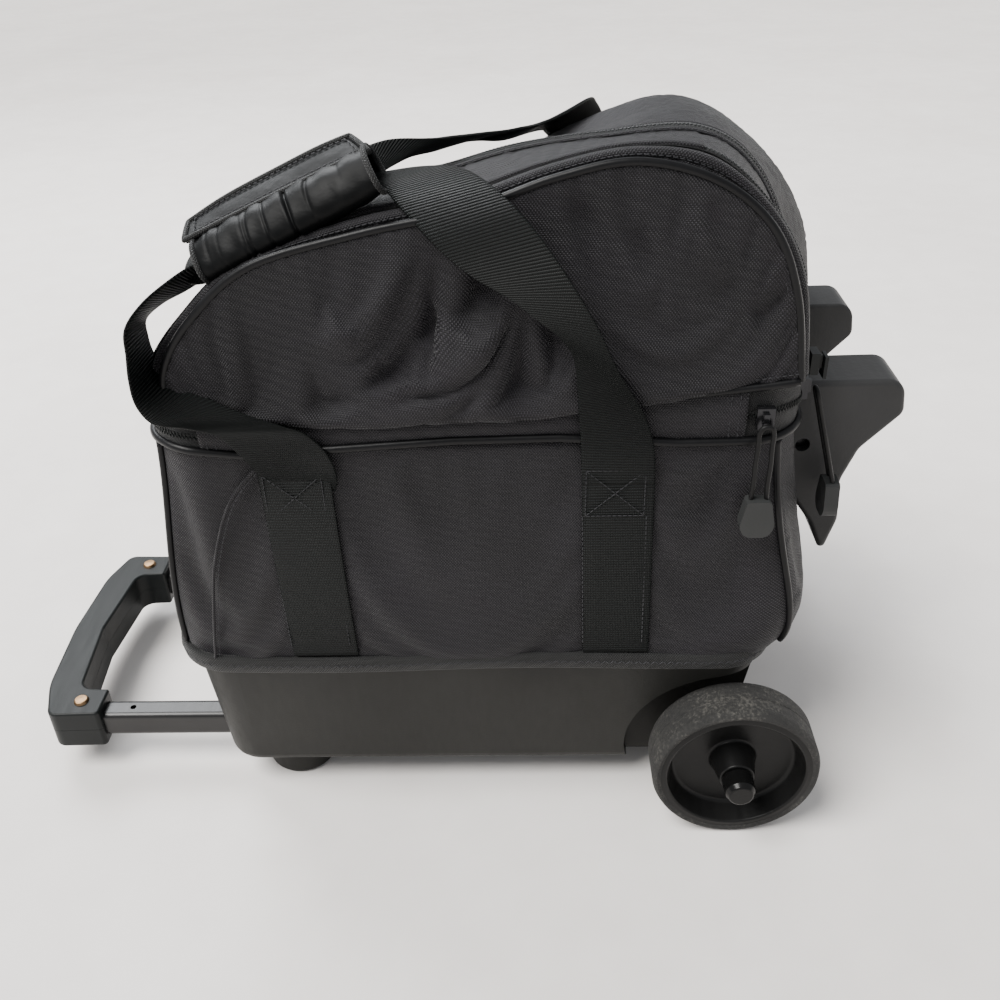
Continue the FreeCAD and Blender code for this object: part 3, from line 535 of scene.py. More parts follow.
def camera_and_stage():
    scene = bpy.context.scene
    data = bpy.data.cameras.new("camera")
    data.lens = 37.24
    data.sensor_width = 36
    data.clip_start = 0.01
    data.clip_end = 20
    camera = bpy.data.objects.new("camera", data)
    scene.collection.objects.link(camera)
    pitch, yaw, roll = (math.radians(angle) for angle in CAMERA_TURN)
    forward = Vector((math.sin(yaw) * math.cos(pitch), math.cos(yaw) * math.cos(pitch), -math.sin(pitch)))
    right = Vector((math.cos(yaw), -math.sin(yaw), 0))
    up = right.cross(forward)
    right_rolled = right * math.cos(roll) + up * math.sin(roll)
    up_rolled = up * math.cos(roll) - right * math.sin(roll)
    turn = Matrix((right_rolled, up_rolled, -forward)).transposed()
    camera.matrix_world = Matrix.Translation(Vector(CAMERA_PLACE) * MM) @ turn.to_4x4()
    scene.camera = camera

    n = Nodes("floor_paper")
    place = n.coordinates()
    tone = n.total((n.noise(place, 3.5, 4), 0.6), (n.noise(place, 22, 4), 0.4))
    colour = n.ramp(tone, [(0.3, (0.70, 0.665, 0.64)), (0.7, (0.80, 0.77, 0.745))])
    reach = 9000
    corners = [(-reach, -reach, 0), (reach, -reach, 0), (reach, reach, 0), (-reach, reach, 0)]
    mesh_object("floor", corners, [(0, 1, 2, 3)], n.finish(colour, 0.9))

    world = bpy.data.worlds.new("sky")
    scene.world = world
    world.use_nodes = True
    world.node_tree.nodes["Background"].inputs["Color"].default_value = (0.95, 0.97, 1.0, 1)
    world.node_tree.nodes["Background"].inputs["Strength"].default_value = SKY
    sun = bpy.data.lights.new("sun", "SUN")
    sun.energy = 6.2
    sun.angle = math.radians(34)
    sun.color = (1, 0.985, 0.955)
    key = bpy.data.lights.new("key", "AREA")
    key.size = 1.0
    key.energy = 46
    key.color = (0.96, 0.98, 1)
    for light, place in ((sun, (-0.75, -0.45, 1.6)), (key, (-0.9, 1.1, 1.6))):
        lamp = bpy.data.objects.new(light.name, light)
        scene.collection.objects.link(lamp)
        lamp.location = place
        lamp.rotation_euler = (Vector((0.03, 0, 0.2)) - Vector(place)).to_track_quat("-Z", "Y").to_euler()


# ------------------------------------------------------------------ lower soft body

CORNER = 30.0
MIDDLE_X = (LEFT + RIGHT) / 2
HALF_X = (RIGHT - LEFT) / 2
LEAN = 11.0


def perimeter(count, grow=0.0):
    """Points and outward directions round the soft body in plan, from the middle of the far side."""
    half_x, half_y, corner = HALF_X + grow, FAR + grow, CORNER + grow
    middle_far = (0, half_y, 0, 1)
    fine = [middle_far]
    for across, deep, finish_angle in ((-1, 1, 180), (-1, -1, 270), (1, -1, 360), (1, 1, 90)):
        x, y = across * (half_x - corner), deep * (half_y - corner)
        for angle in np.radians(np.linspace(finish_angle - 90, finish_angle, 12)):
            out_x, out_y = math.cos(angle), math.sin(angle)
            fine.append((x + corner * out_x, y + corner * out_y, out_x, out_y))
    fine = np.array(fine + [middle_far])
    dense = [a * (1 - t) + b * t
             for a, b in zip(fine[:-1], fine[1:]) for t in np.linspace(0, 1, 8, endpoint=False)]
    dense = np.array(dense + [fine[-1]])
    along = run_of(dense[:, :2])
    wanted = np.linspace(0, along[-1], count, endpoint=False)
    found = read_at(wanted, along, dense)
    return found[:, :2] + np.array([MIDDLE_X, 0]), unit(found[:, 2:]), wanted


def lean(x, z):
    """How far the left end leans in towards the wheels as it rises: the cloth narrows to the zip."""
    return LEAN * step(-np.asarray(x, float), 50, 137) * step(z, HEM + 12, WALL_TOP)


def ring_path(height, grow=0.0, count=360):
    """A level ring round the soft body, with outward directions; height may depend on the place."""
    points, outward, _ = perimeter(count, grow)
    z = height(points[:, 0], points[:, 1]) if callable(height) else np.full(count, float(height))
    path = np.column_stack([points[:, 0] + lean(points[:, 0], z), points[:, 1], z])
    return path, np.column_stack([outward, np.zeros(count)])


def up_the_wall(z):
    return (z - HEM) / (WALL_TOP - HEM)


def creases(x, z):
    """Slack folds of the near panel: right of the right strap below the piping, and between the straps."""
    z = z - PIPING
    right = (4 * streak(x, z, (130, -28), (166, -8), 6) - 5 * hump(x, 160, 13) * hump(z, -40, 14)
             + 3 * streak(x, z, (131, -64), (154, -48), 7))
    middle = -2.5 * streak(x, z, (-12, -20), (28, -50), 8) + 2 * streak(x, z, (4, -16), (52, -34), 8)
    return right * step(x, LEGS_HIGH[0], LEGS_HIGH[0] + 10) + middle


def swell(x, y, share):
    """How far the lower body's cloth stands out at a place in plan and a share of its height."""
    share = np.clip(share, 0, 1)
    belly = np.sin(np.pi * share)
    low_belly = np.sin(np.pi * share ** 0.5) ** 2
    pillow = step(np.abs(y), 68, 92) * (1 - 0.25 * step(np.abs(y), 104, 123))
    right = step(x, RIGHT - 30, RIGHT - 4) * (2 * belly + 17 * pillow * low_belly)
    left = (1 - step(x, LEFT, LEFT + 25)) * 3 * belly
    near = (1 - step(y, NEAR, NEAR + 12)) * (2.5 * belly * hump(x, 20, 130) + 2 * belly * hump(x, -95, 30))
    near += (1 - step(y, NEAR, NEAR + 12)) * belly ** 0.5 * creases(x, HEM + share * (WALL_TOP - HEM))
    far = step(y, FAR - 12, FAR) * 5 * belly * hump(x, 30, 130)
    return right + left + near + far


# Where the vertical seams of the lower body run: the x at the wall's top and at its bottom, and the side.
SIDE_SEAMS = {"near_right": (RIGHT - 14, RIGHT - 5, -1), "far_right": (RIGHT - 14, RIGHT - 5, 1),
              "near_left": (LEFT + 6, LEFT + 6, -1), "far_left": (LEFT + 6, LEFT + 6, 1)}


def on_corner(x, side):
    """The y of the soft body's rounded corner at an x, and the outward direction there."""
    centre_x = RIGHT - CORNER if x > MIDDLE_X else LEFT + CORNER
    across = (x - centre_x) / CORNER
    deep = math.sqrt(max(1 - across ** 2, 0))
    return side * (FAR - CORNER + CORNER * deep), np.array([across, side * deep])


def lower_body():
    columns, rows = 300, 40
    plan, outward, along = perimeter(columns)
    height = np.linspace(HEM - 1, WALL_TOP + 1.5, rows)
    share = up_the_wall(height)
    x, y = plan[:, 0], plan[:, 1]
    out = swell(x[None], y[None], share[:, None])
    grid = np.empty((rows, columns, 3))
    grid[..., 0] = x[None] + outward[None, :, 0] * out + lean(x[None], height[:, None])
    grid[..., 1] = y[None] + outward[None, :, 1] * out
    grid[..., 2] = height[:, None]
    shell = grid_object("lower_body_cloth", grid, FABRIC, pairs(height, along)[..., ::-1], closed=True)
    pins = np.zeros((rows, columns))
    pins[:2] = pins[-2:] = 1
    for top_x, low_x, side in SIDE_SEAMS.values():
        for row, s in enumerate(share):
            seam_x = low_x + (top_x - low_x) * s
            seam_y, _ = on_corner(seam_x, side)
            pins[row, np.hypot(x - seam_x, y - seam_y) < 3.2] = 0.9
    for leg in LEG_CENTRES:
        held = (np.abs(x - leg) < STRAP / 2) & (np.abs(np.abs(y) - FAR) < 3)
        pins[:, held] = np.maximum(pins[:, held], 0.7)
    settle(shell, pins, 24, slack=0.006, bending=8, pressure=0.6)
    thicken(shell, 1.6)
    keep(shell, "bag_body")
    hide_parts("near_side_panel", "far_side_panel", "left_end_panel", "right_end_panel")


def piping_height(x, y):
    """The lower piping sags between the straps on the near side."""
    sag = np.interp(x, [-137, -92, -55, 23, 79, 141, 190], [0, -4.5, -3, 2, 2.7, -1.5, -1])
    return PIPING + 0.3 + sag * (1 - step(y, NEAR, NEAR + 30))


def hem_height(x, y):
    return HEM + 5 + 1.2 * np.sin(x / 37) + 0.8 * np.sin(y / 21)


def lower_trim():
    """Piping, hem binding, seams and stitching of the lower body."""
    path, out = ring_path(piping_height, 1.2)
    cord = tube("lower_piping_cord", path, 2.4, VINYL, out, closed=True)
    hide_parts("lower_piping")
    keep(cord, "bag_body")
    path, out = ring_path(hem_height, 1.8)
    profile = [(-5.8, -1.6), (-6, 0.6), (-4.5, 1.8), (0, 2.2), (4.5, 1.8), (6, 0.6), (5.8, -1.6)]
    band = swept("hem_binding_tape", path, out, profile, BINDING, closed=True)
    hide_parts("hem_binding")
    keep(band, "bag_body")
    path, out = ring_path(hem_height, 3.9)
    keep(stitches("hem_zigzag", path, out, 2.4, 3.0, radius=0.33, zigzag=0.9, closed=True), "bag_body")
    z = np.linspace(HEM + 14, WALL_TOP, 40)
    share = up_the_wall(z)
    for name, (top_x, low_x, side) in SIDE_SEAMS.items():
        x = low_x + (top_x - low_x) * share
        found = [on_corner(each, side) for each in x]
        y = np.array([each for each, _ in found])
        facing = np.array([each for _, each in found])
        out = swell(x, y, share) + 1.0
        path = np.column_stack([x + facing[:, 0] * out + lean(x, z), y + facing[:, 1] * out, z])
        normals = np.column_stack([facing, np.zeros(40)])
        keep(tube(f"seam_{name}", path, 1.9, VINYL, normals, sides=8), "bag_body")

    z = [HEM + 8, 165, 200, 236, 256, WALL_TOP - 1]
    x = [-124, -118, -111, -98, -83, -66]
    path = smooth([(px, NEAR - 1.6, pz) for px, pz in zip(x, z)], 90)
    path[:, 1] -= swell(path[:, 0], path[:, 1], up_the_wall(path[:, 2]))
    keep(tube("near_panel_seam", path, 0.9, FABRIC, OUTWARD, sides=8), "bag_body")
    keep(stitches("near_panel_seam_stitches", path + np.array([2.6, 0.2, 0]), OUTWARD), "bag_body")


# ------------------------------------------------------------------ dome

# Cross-sections of the dome from its left foot over the left shoulder and the main hump to its right foot,
# as (x, z) at each depth. The hump is above the upper compartment; the left shoulder sags.
SECTIONS = {
    NEAR: [(-119, 290), (-115, 317), (-98, 342), (-66, 368), (-15, 382), (36, 392), (78, 406), (114, 412),
           (150, 402), (176, 380), (190, 347), (197, 305)],
    NEAR + 15: [(-133, 289), (-127, 312), (-108, 336), (-75, 364), (-20, 385), (32, 395), (74, 408),
                (112, 415), (148, 411), (177, 386), (196, 353), (203, 304)],
    NEAR + 63: [(-137, 288), (-131, 306), (-112, 329), (-80, 357), (-26, 384), (20, 394), (58, 404),
                (100, 409), (148, 411), (178, 392), (198, 350), (207, 292)],
    0: [(-137, 288), (-131, 301), (-112, 323), (-84, 349), (-38, 372), (14, 380), (54, 385), (92, 394),
        (148, 409), (192, 386), (221, 345), (231, 291)],
    60: [(-137, 288), (-130, 303), (-106, 325), (-70, 346), (-20, 358), (20, 362), (56, 369), (92, 386),
         (140, 400), (178, 388), (212, 352), (226, 290)],
    105: [(-132, 288), (-127, 303), (-102, 320), (-62, 334), (-14, 341), (24, 345), (60, 349), (98, 356),
          (142, 362), (176, 350), (200, 326), (210, 290)],
    FAR: [(-124, 288), (-120, 302), (-98, 318), (-58, 328), (-12, 333), (24, 336), (62, 340), (100, 346),
          (142, 350), (170, 338), (190, 316), (200, 290)],
}
ACROSS = 150    # points across the dome


def dome_grid(depths):
    """The dome's surface at each depth, ACROSS points from left to right."""
    known = sorted(SECTIONS)
    last = len(known) - 1
    curves = np.array([smooth(SECTIONS[y], ACROSS) for y in known])
    rows = []
    for y in depths:
        i = int(np.clip(np.searchsorted(known, y) - 1, 0, last - 1))
        before, after = max(i - 1, 0), min(i + 2, last)
        gap = known[i + 1] - known[i]
        t = (y - known[i]) / gap
        slope_a = (curves[i + 1] - curves[before]) / (known[i + 1] - known[before]) * gap
        slope_b = (curves[after] - curves[i]) / (known[after] - known[i]) * gap
        point = ((2 * t ** 3 - 3 * t ** 2 + 1) * curves[i] + (t ** 3 - 2 * t ** 2 + t) * slope_a
                 + (-2 * t ** 3 + 3 * t ** 2) * curves[i + 1] + (t ** 3 - t ** 2) * slope_b)
        rows.append(np.column_stack([point[:, 0], np.full(ACROSS, y), point[:, 1]]))
    return np.array(rows)


def line_at(depth, lift=0.0, across=0.0):
    """The dome's outline at a depth, lifted off the cloth and moved in depth, with outward directions."""
    near, here, far = dome_grid([depth - 1.5, depth, depth + 1.5])
    normal = unit(np.cross(np.gradient(here, axis=0), far - near))
    normal = np.where(normal[:, 2:].mean() < 0, -normal, normal)
    return here + normal * lift + np.array([0, across, 0]), normal


def sill(x):
    """Height of the D panel's lower piping along the near side."""
    return np.interp(x, [-119, -44, -12, 24, 70, 119, 149, 178, 200],
                     [289, 285.5, 285, 288, 289.5, 295.5, 299, 302, 305])


def dome():
    """The cloth of the dome: crown strips between its seams."""
    depths = np.concatenate([np.linspace(NEAR + 0.01, DOOR_FRONT, 6)[:-1],
                             np.linspace(DOOR_FRONT, DOOR_BACK + 2, 18)[:-1],
                             np.linspace(DOOR_BACK + 2, FAR - 0.01, 50)])
    surface = dome_grid(depths)
    uv = pairs(depths - NEAR, run_of(surface[20]))[..., ::-1]
    crown = grid_object("dome_cloth", surface, FABRIC, uv)
    first, second = (int(np.argmin(np.abs(depths - seam))) for seam in (DOOR_FRONT, DOOR_BACK + 2))
    pins = np.full(surface.shape[:2], 0.3)
    pins[0] = pins[-1] = 1
    pins[:, :2] = pins[:, -2:] = 1
    pins[[first, second]] = 0.9
    settle(crown, pins, 26, slack=0.010, bending=4, pressure=0.3, gravity=0.5)
    settled = (np.array([v.co for v in crown.data.vertices]) / MM).reshape(surface.shape)
    bpy.data.objects.remove(crown)
    for name, rows, body in (("pocket_gusset_cloth", slice(0, first + 1), "pocket_flap"),
                             ("door_crown_cloth", slice(first, second + 1), "front_door"),
                             ("lid_crown_cloth", slice(second, len(depths)), "lid")):
        piece = grid_object(name, settled[rows], FABRIC, uv[rows])
        thicken(piece, 1.6)
        keep(piece, body)
    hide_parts("door_crown")
    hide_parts("lid_crown")


def flat_panel(name, arch, foot, deep, dents, frames):
    """A panel between an arch and a foot line, swelling and denting along Y."""
    rows = 46
    shares = np.linspace(0, 1, rows) ** 0.9
    grid = arch[None] * (1 - shares[:, None, None]) + foot[None] * shares[:, None, None]
    edge = np.minimum(shares[:, None], 1 - shares[:, None]) * 2
    ends = np.minimum(np.linspace(0, 1, len(arch)), np.linspace(1, 0, len(arch))) * 2
    mask = step(edge, 0, 0.35) * step(ends, 0, 0.12)[None]
    grid[..., 1] += deep * mask * dents(grid[..., 0], grid[..., 2])
    panel = grid_object(name, grid, FABRIC, grid[..., [0, 2]])
    pins = np.zeros(grid.shape[:2])
    pins[0] = pins[-1] = 1
    pins[:, 0] = pins[:, -1] = 1
    settle(panel, pins, frames, slack=0.012, bending=6)
    thicken(panel, 1.6)
    return panel


def streak(x, z, start, end, width, reach=1.0):
    """1 along a line between two (x, z) places and falling off beside it and past its ends."""
    start, end = np.array(start, float), np.array(end, float)
    run = end - start
    total = np.linalg.norm(run)
    along = ((x - start[0]) * run[0] + (z - start[1]) * run[1]) / total
    beside = (-(x - start[0]) * run[1] + (z - start[1]) * run[0]) / total
    begun = step(along, -0.35 * total * reach, 0.2 * total)
    ended = step(along, 0.8 * total, total * (1 + 0.35 * reach))
    return np.exp(-(beside / width) ** 2) * (begun * (1 - ended))


def near_panel_shape(x, z):
    """Swelling and dents of the D panel: full at the hump, with slack folds below the left shoulder."""
    full = 9 * hump(x, 125, 55) * hump(z, 345, 50)
    left = 8 * hump(x, -78, 34) * hump(z, 318, 26)
    ridge = 9 * streak(x, z, (-34, 334), (10, 358), 12)
    valley = -14 * streak(x, z, (-12, 312), (14, 341), 14) - 17 * streak(x, z, (14, 341), (50, 364), 17)
    patch = 9 * hump(x, 36, 20) * hump(z, 334, 16)
    fold = -14 * streak(x, z, (84, 340), (52, 305), 14)
    lower = 5 * streak(x, z, (-2, 303), (50, 297), 9)
    tuck = -8 * hump(x, -36, 20) * hump(z, 301, 10)
    upper = -6 * streak(x, z, (82, 392), (120, 376), 9)
    side = -7 * streak(x, z, (112, 368), (165, 350), 12)
    shoulder = -4.5 * streak(x, z, (146, 392), (168, 366), 7)
    pinch = -5 * streak(x, z, (172, 338), (188, 352), 7)
    return full + left + ridge + valley + patch + fold + lower + tuck + upper + side + shoulder + pinch


def far_panel_shape(x, z):
    return 7 * hump(x, 60, 120) * hump(z, 330, 50) - 3 * hump(x, -40, 30) * hump(z, 345, 25)


def foot_under(arch):
    """A straight line in plan below an arch, a little inside its ends."""
    foot = arch.copy()
    foot[:, 0] = np.linspace(arch[0, 0] + 1, arch[-1, 0] - 1, len(arch))
    return foot


def dome_panels():
    arch, _ = line_at(NEAR + 0.01)
    arch[:, 1] = NEAR - 0.3
    foot = foot_under(arch)
    foot[:, 2] = sill(foot[:, 0])
    arch[:, 2] = np.maximum(arch[:, 2], sill(arch[:, 0]) + 0.2)
    panel = flat_panel("pocket_panel_cloth", arch, foot, -1.0, near_panel_shape, 34)
    keep(panel, "pocket_flap")
    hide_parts("pocket_panel")
    arch, _ = line_at(FAR - 0.01)
    arch[:, 1] = FAR
    foot = foot_under(arch)
    foot[:, 2] = LID - 3
    back = flat_panel("far_panel_cloth", arch[::-1], foot[::-1], 1.0, far_panel_shape, 20)
    keep(back, "lid")
    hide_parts("lid_far_panel")


def lining(name, grid, plane, body, node):
    made = grid_object(name, grid, LINING, grid[..., plane])
    thicken(made, 1.0)
    keep(made, body)
    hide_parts(node)


def inner_panels():
    """The lining between the pocket and the upper compartment, and the compartment's floor."""
    arch, _ = line_at(DOOR_FRONT + 1.5, -2.6)
    foot = arch.copy()
    foot[:, 2] = np.minimum(arch[:, 2], LID + 5)
    shares = np.linspace(0, 1, 24)[:, None, None]
    grid = arch[None] * (1 - shares) + foot[None] * shares
    grid[..., 1] += 1.4 * np.sin(grid[..., 0] / 19) * np.sin(np.pi * shares[..., 0])
    lining("door_lining", grid, [0, 2], "front_door", "door_back_panel")

    height = span("lid_floor")[1][2]
    rows = []
    for depth in np.linspace(DOOR_BACK + 4, FAR - 4, 30):
        line = dome_grid([depth])[0]
        crest = int(np.argmax(line[:, 2]))
        left = np.interp(height, line[:crest, 2], line[:crest, 0]) + 4
        right = np.interp(height, line[crest:, 2][::-1], line[crest:, 0][::-1]) - 4
        x = np.linspace(left, right, 60)
        z = height - 1.2 * np.sin(x / 27) * np.sin(depth / 31)
        rows.append(np.column_stack([x, np.full(60, depth), z]))
    lining("lid_floor_lining", np.array(rows), [0, 1], "lid", "lid_floor")


def dome_trim():
    """Piping, welts, zips and stitching of the dome."""
    line, normal = line_at(NEAR + 1.0, 0.4, -1.6)
    keep(tube("pocket_piping", line, 2.1, VINYL, normal), "pocket_flap")
    line, normal = line_at(NEAR + 8, 0.3)
    keep(tube("pocket_welt", line, 3.3, FABRIC, normal, flat=0.8), "pocket_flap")
    line, normal = line_at(NEAR + 4.6, 1.2)
    keep(stitches("pocket_welt_stitches", line, normal), "pocket_flap")
    line, _ = line_at(NEAR + 1.0)
    towards = unit(np.array([35.0, 0, 330.0]) - line) * np.array([1, 0, 1])
    edge = line + towards * 4.5 + np.array([0, -2.2, 0])
    keep(stitches("pocket_edge_stitches", edge[6:-6], OUTWARD), "pocket_flap")

    x = np.linspace(-118, 197, 120)
    foot = np.column_stack([x, np.full(120, NEAR - 1.6), sill(x)])
    keep(tube("pocket_foot_piping", foot, 2.2, VINYL, OUTWARD), "pocket_flap")
    keep(stitches("pocket_foot_stitches", foot + np.array([0, -0.4, 4.4]), OUTWARD), "pocket_flap")

    zip_band("pocket", DOOR_FRONT + 1.0, "front_door", 3.2, 143)
    zip_band("compartment", DOOR_BACK + 2.0, "lid", 6.5, LEFT)
    line, normal = line_at(DOOR_FRONT + 1.0)
    covered = line[:, 0] < 146
    cover = line[covered] + normal[covered] * 1.2
    keep(tube("pocket_zip_cover", cover, 2.6, FABRIC, normal[covered], flat=0.5), "front_door")
    for name, depth, apart, body in (("compartment_lip_near", DOOR_BACK - 6.5, -2.8, "front_door"),
                                     ("compartment_lip_far", DOOR_BACK + 10.5, 2.8, "lid")):
        line, normal = line_at(depth, 0.2)
        keep(tube(name, line, 1.6, FABRIC, normal, flat=0.7), body)
        line, normal = line_at(depth + apart, 0.5)
        keep(stitches(name + "_stitches", line, normal), body)
    line, normal = line_at(FAR - 1.0, 0.4, 1.6)
    keep(tube("far_piping", line, 2.1, VINYL, normal), "lid")


def zip_band(name, depth, body, half, coil_left):
    """A zip round the dome: its tape, and its coil where it isn't covered."""
    line, normal = line_at(depth)
    profile = [(-half, -0.4), (-half, 0.3), (0, 0.5), (half, 0.3), (half, -0.4)]
    tape = swept(f"{name}_zip_tape", line + normal * 0.7, normal, profile, TAPE)
    keep(tape, body)
    if name == "compartment":
        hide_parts("compartment_zip")
    seen = line[:, 0] > coil_left
    keep(coil(f"{name}_zip_coil", line[seen] + normal[seen] * 0.9, normal[seen]), body)


# ------------------------------------------------------------------ main zip and hinge band

def lid_sill(x, y):
    """Height of the lid's lower edge round the bag."""
    near = 1 - step(y, NEAR, NEAR + 35)
    return near * sill(x) + (1 - near) * (LID + 1.0)


def outside(gap):
    """Indices round a ring that aren't in a gap, in order from the gap's end."""
    start = int(np.argmax(np.diff(gap.astype(int)) == -1)) + 1
    return [i % len(gap) for i in range(start, start + len(gap)) if not gap[i % len(gap)]]


def main_zip():
    """The zip between the lower body and the lid, and the cloth hinge on the near side."""
    path, out = ring_path(lambda x, y: lid_sill(x, y) + 0.5, 1.2)
    rest = outside((path[:, 1] < NEAR + 4) & (path[:, 0] > -118) & (path[:, 0] < 197))
    keep(tube("lid_piping", path[rest], 2.3, VINYL, out[rest]), "lid")

    path, out = ring_path(ZIP, 0.3, 720)
    rest = outside((path[:, 1] < NEAR + 2) & (path[:, 0] > -104) & (path[:, 0] < 172))
    x, y, out = path[rest, 0], path[rest, 1], out[rest]
    top, low_edge = lid_sill(x, y), piping_height(x, y)
    middle = (low_edge + top) / 2
    shares = np.linspace(0, 1, 5)
    uv = pairs(np.linspace(0, 9, 5), np.arange(len(x)) * 1.6)[..., ::-1]
    for name, low, high, raised, body, node in (
            ("main_zip_tape_low", low_edge, middle - 0.4, shares, "bag_body", "main_zip_lower"),
            ("main_zip_tape_high", middle + 0.4, top, 1 - shares, "lid", "main_zip_upper")):
        grid = np.stack([np.column_stack([x, y, low + (high - low) * s]) + out * (0.2 + 0.9 * r)
                         for s, r in zip(shares, raised)])
        tape = grid_object(name, grid, TAPE, uv)
        thicken(tape, 0.8)
        keep(tape, body)
        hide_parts(node)
    keep(coil("main_zip_coil", np.column_stack([x, y, middle]) + out, out), "bag_body")

    columns, rows = 140, 12
    x = np.linspace(-106, 173, columns)
    share = np.linspace(0, 1, rows)[:, None]
    low = piping_height(x, np.full(columns, NEAR))[None] + 1
    grid = np.empty((rows, columns, 3))
    grid[..., 0] = x[None]
    grid[..., 2] = low + (sill(x)[None] - low) * share
    grid[..., 1] = NEAR - 0.6 - 2.6 * np.sin(np.pi * share) * (0.8 + 0.2 * np.sin(x / 23)[None])
    band = grid_object("hinge_band_cloth", grid, FABRIC, grid[..., [0, 2]])
    thicken(band, 1.2)
    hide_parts("hinge_band")
    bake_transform(band)
    for edge, inward in ((-104, 1), (171, -1)):
        for row in (2.0, 6.5):
            x = edge + inward * row
            z = np.linspace(float(piping_height(x, NEAR)) + 3, float(sill(x)) - 2.5, 12)
            path = np.column_stack([np.full(12, x), np.full(12, NEAR - 2.6), z])
            keep(stitches(f"hinge_hem_{int(x)}".replace("-", "m"), path, OUTWARD), "bag_body")


# ------------------------------------------------------------------ webbing and wrap

def sewn_legs():
    """The sewn ends of the carry straps with their crossed box stitching."""
    z = np.linspace(HEM + 12, LEGS_HIGH[2] + 4, 16)
    for side, y, facing, slant in (("near", NEAR, -1.0, 0.02), ("far", FAR, 1.0, 0)):
        made = []
        for number, centre in enumerate(LEG_CENTRES):
            x = centre - (z - HEM) * slant + 2
            out = np.maximum(swell(x, np.full(16, y), up_the_wall(z)) + 1.5, 1.5)
            left, right = (np.column_stack([x + half, y + facing * out, z])
                           for half in (-STRAP / 2, STRAP / 2))
            if facing > 0:
                left, right = right, left
            made.append(ribbon(f"{side}_leg_{number}", left, right, thickness=1.4, count=70))
            cross_stitch(f"{side}_leg_{number}", centre - 2, y + facing * 3.4, facing)
        for piece in made:
            keep(piece, "bag_body")
        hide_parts(f"{side}_strap_legs")


def cross_stitch(name, centre, y, facing):
    low, high, half = LEGS_HIGH[2] - 30, LEGS_HIGH[2] - 2, STRAP / 2 - 3.5
    corners = [(-half, low), (half, low), (half, high), (-half, high)]
    for number, (a, b) in enumerate(((0, 1), (1, 2), (2, 3), (3, 0), (0, 2), (1, 3))):
        path = np.array([(centre + corners[end][0], y, corners[end][1]) for end in (a, b)])
        keep(stitches(f"{name}_box_{number}", evenly(path, 20), (0, facing, 0), 2.8), "bag_body")
    for number, x in enumerate((-half - 1.5, half + 1.5)):
        path = np.array([(centre + x + 1.5, y, HEM + 20), (centre + x, y, low)])
        keep(stitches(f"{name}_edge_{number}", evenly(path, 30), (0, facing, 0)), "bag_body")


# The near carry strap, as paired (x, y, z) points of its two edges, from each sewn leg up to the wrap.
NEAR_RIGHT_LOWER = [(91, -125.5, 248), (90, -127, 270), (88.5, -131, 292), (87, -136, 311), (85, -141, 327),
                    (79, -143, 338), (69.5, -142, 346), (56, -140, 356.5), (40, -138, 366),
                    (28.5, -135, 374.5),
                    (18, -129, 383.5), (7, -119, 392.5), (-1, -108, 398), (-8, -99, 399), (-28, -98, 390)]
NEAR_RIGHT_UPPER = [(129, -125.5, 248), (127.5, -127, 268), (123, -131, 286), (116, -136, 302),
                    (108, -141, 317), (103, -144, 328), (97, -145.5, 342), (89, -146, 357),
                    (78, -144, 375), (69, -140.5, 387),
                    (59, -134, 397), (48, -122.5, 404), (35, -108, 407), (16, -96, 405), (-14, -88, 400)]
NEAR_LEFT_OUTER = [(-77, -123.0, 246), (-78, -126.5, 257), (-83.8, -132, 272), (-91, -136, 285),
                   (-100, -138, 289.5), (-109, -138.5, 292), (-117, -139.5, 293.5), (-123.5, -140, 297),
                   (-127.6, -141, 307), (-128, -140.5, 319), (-126.8, -139, 331), (-126, -135, 343),
                   (-120, -125, 351), (-110, -116, 358), (-98, -108, 364), (-80, -105, 370)]
NEAR_LEFT_INNER = [(-39, -123.0, 244), (-37, -126.5, 257), (-40.6, -128, 271), (-49.5, -130, 283),
                   (-60, -130, 287.5), (-72, -128.5, 291), (-90, -126, 298), (-106, -121.5, 306),
                   (-119, -114, 312), (-127, -104, 317), (-131, -97, 324), (-131, -94, 332),
                   (-122, -91, 339), (-110, -88, 344), (-98, -87, 350), (-80, -86, 358)]


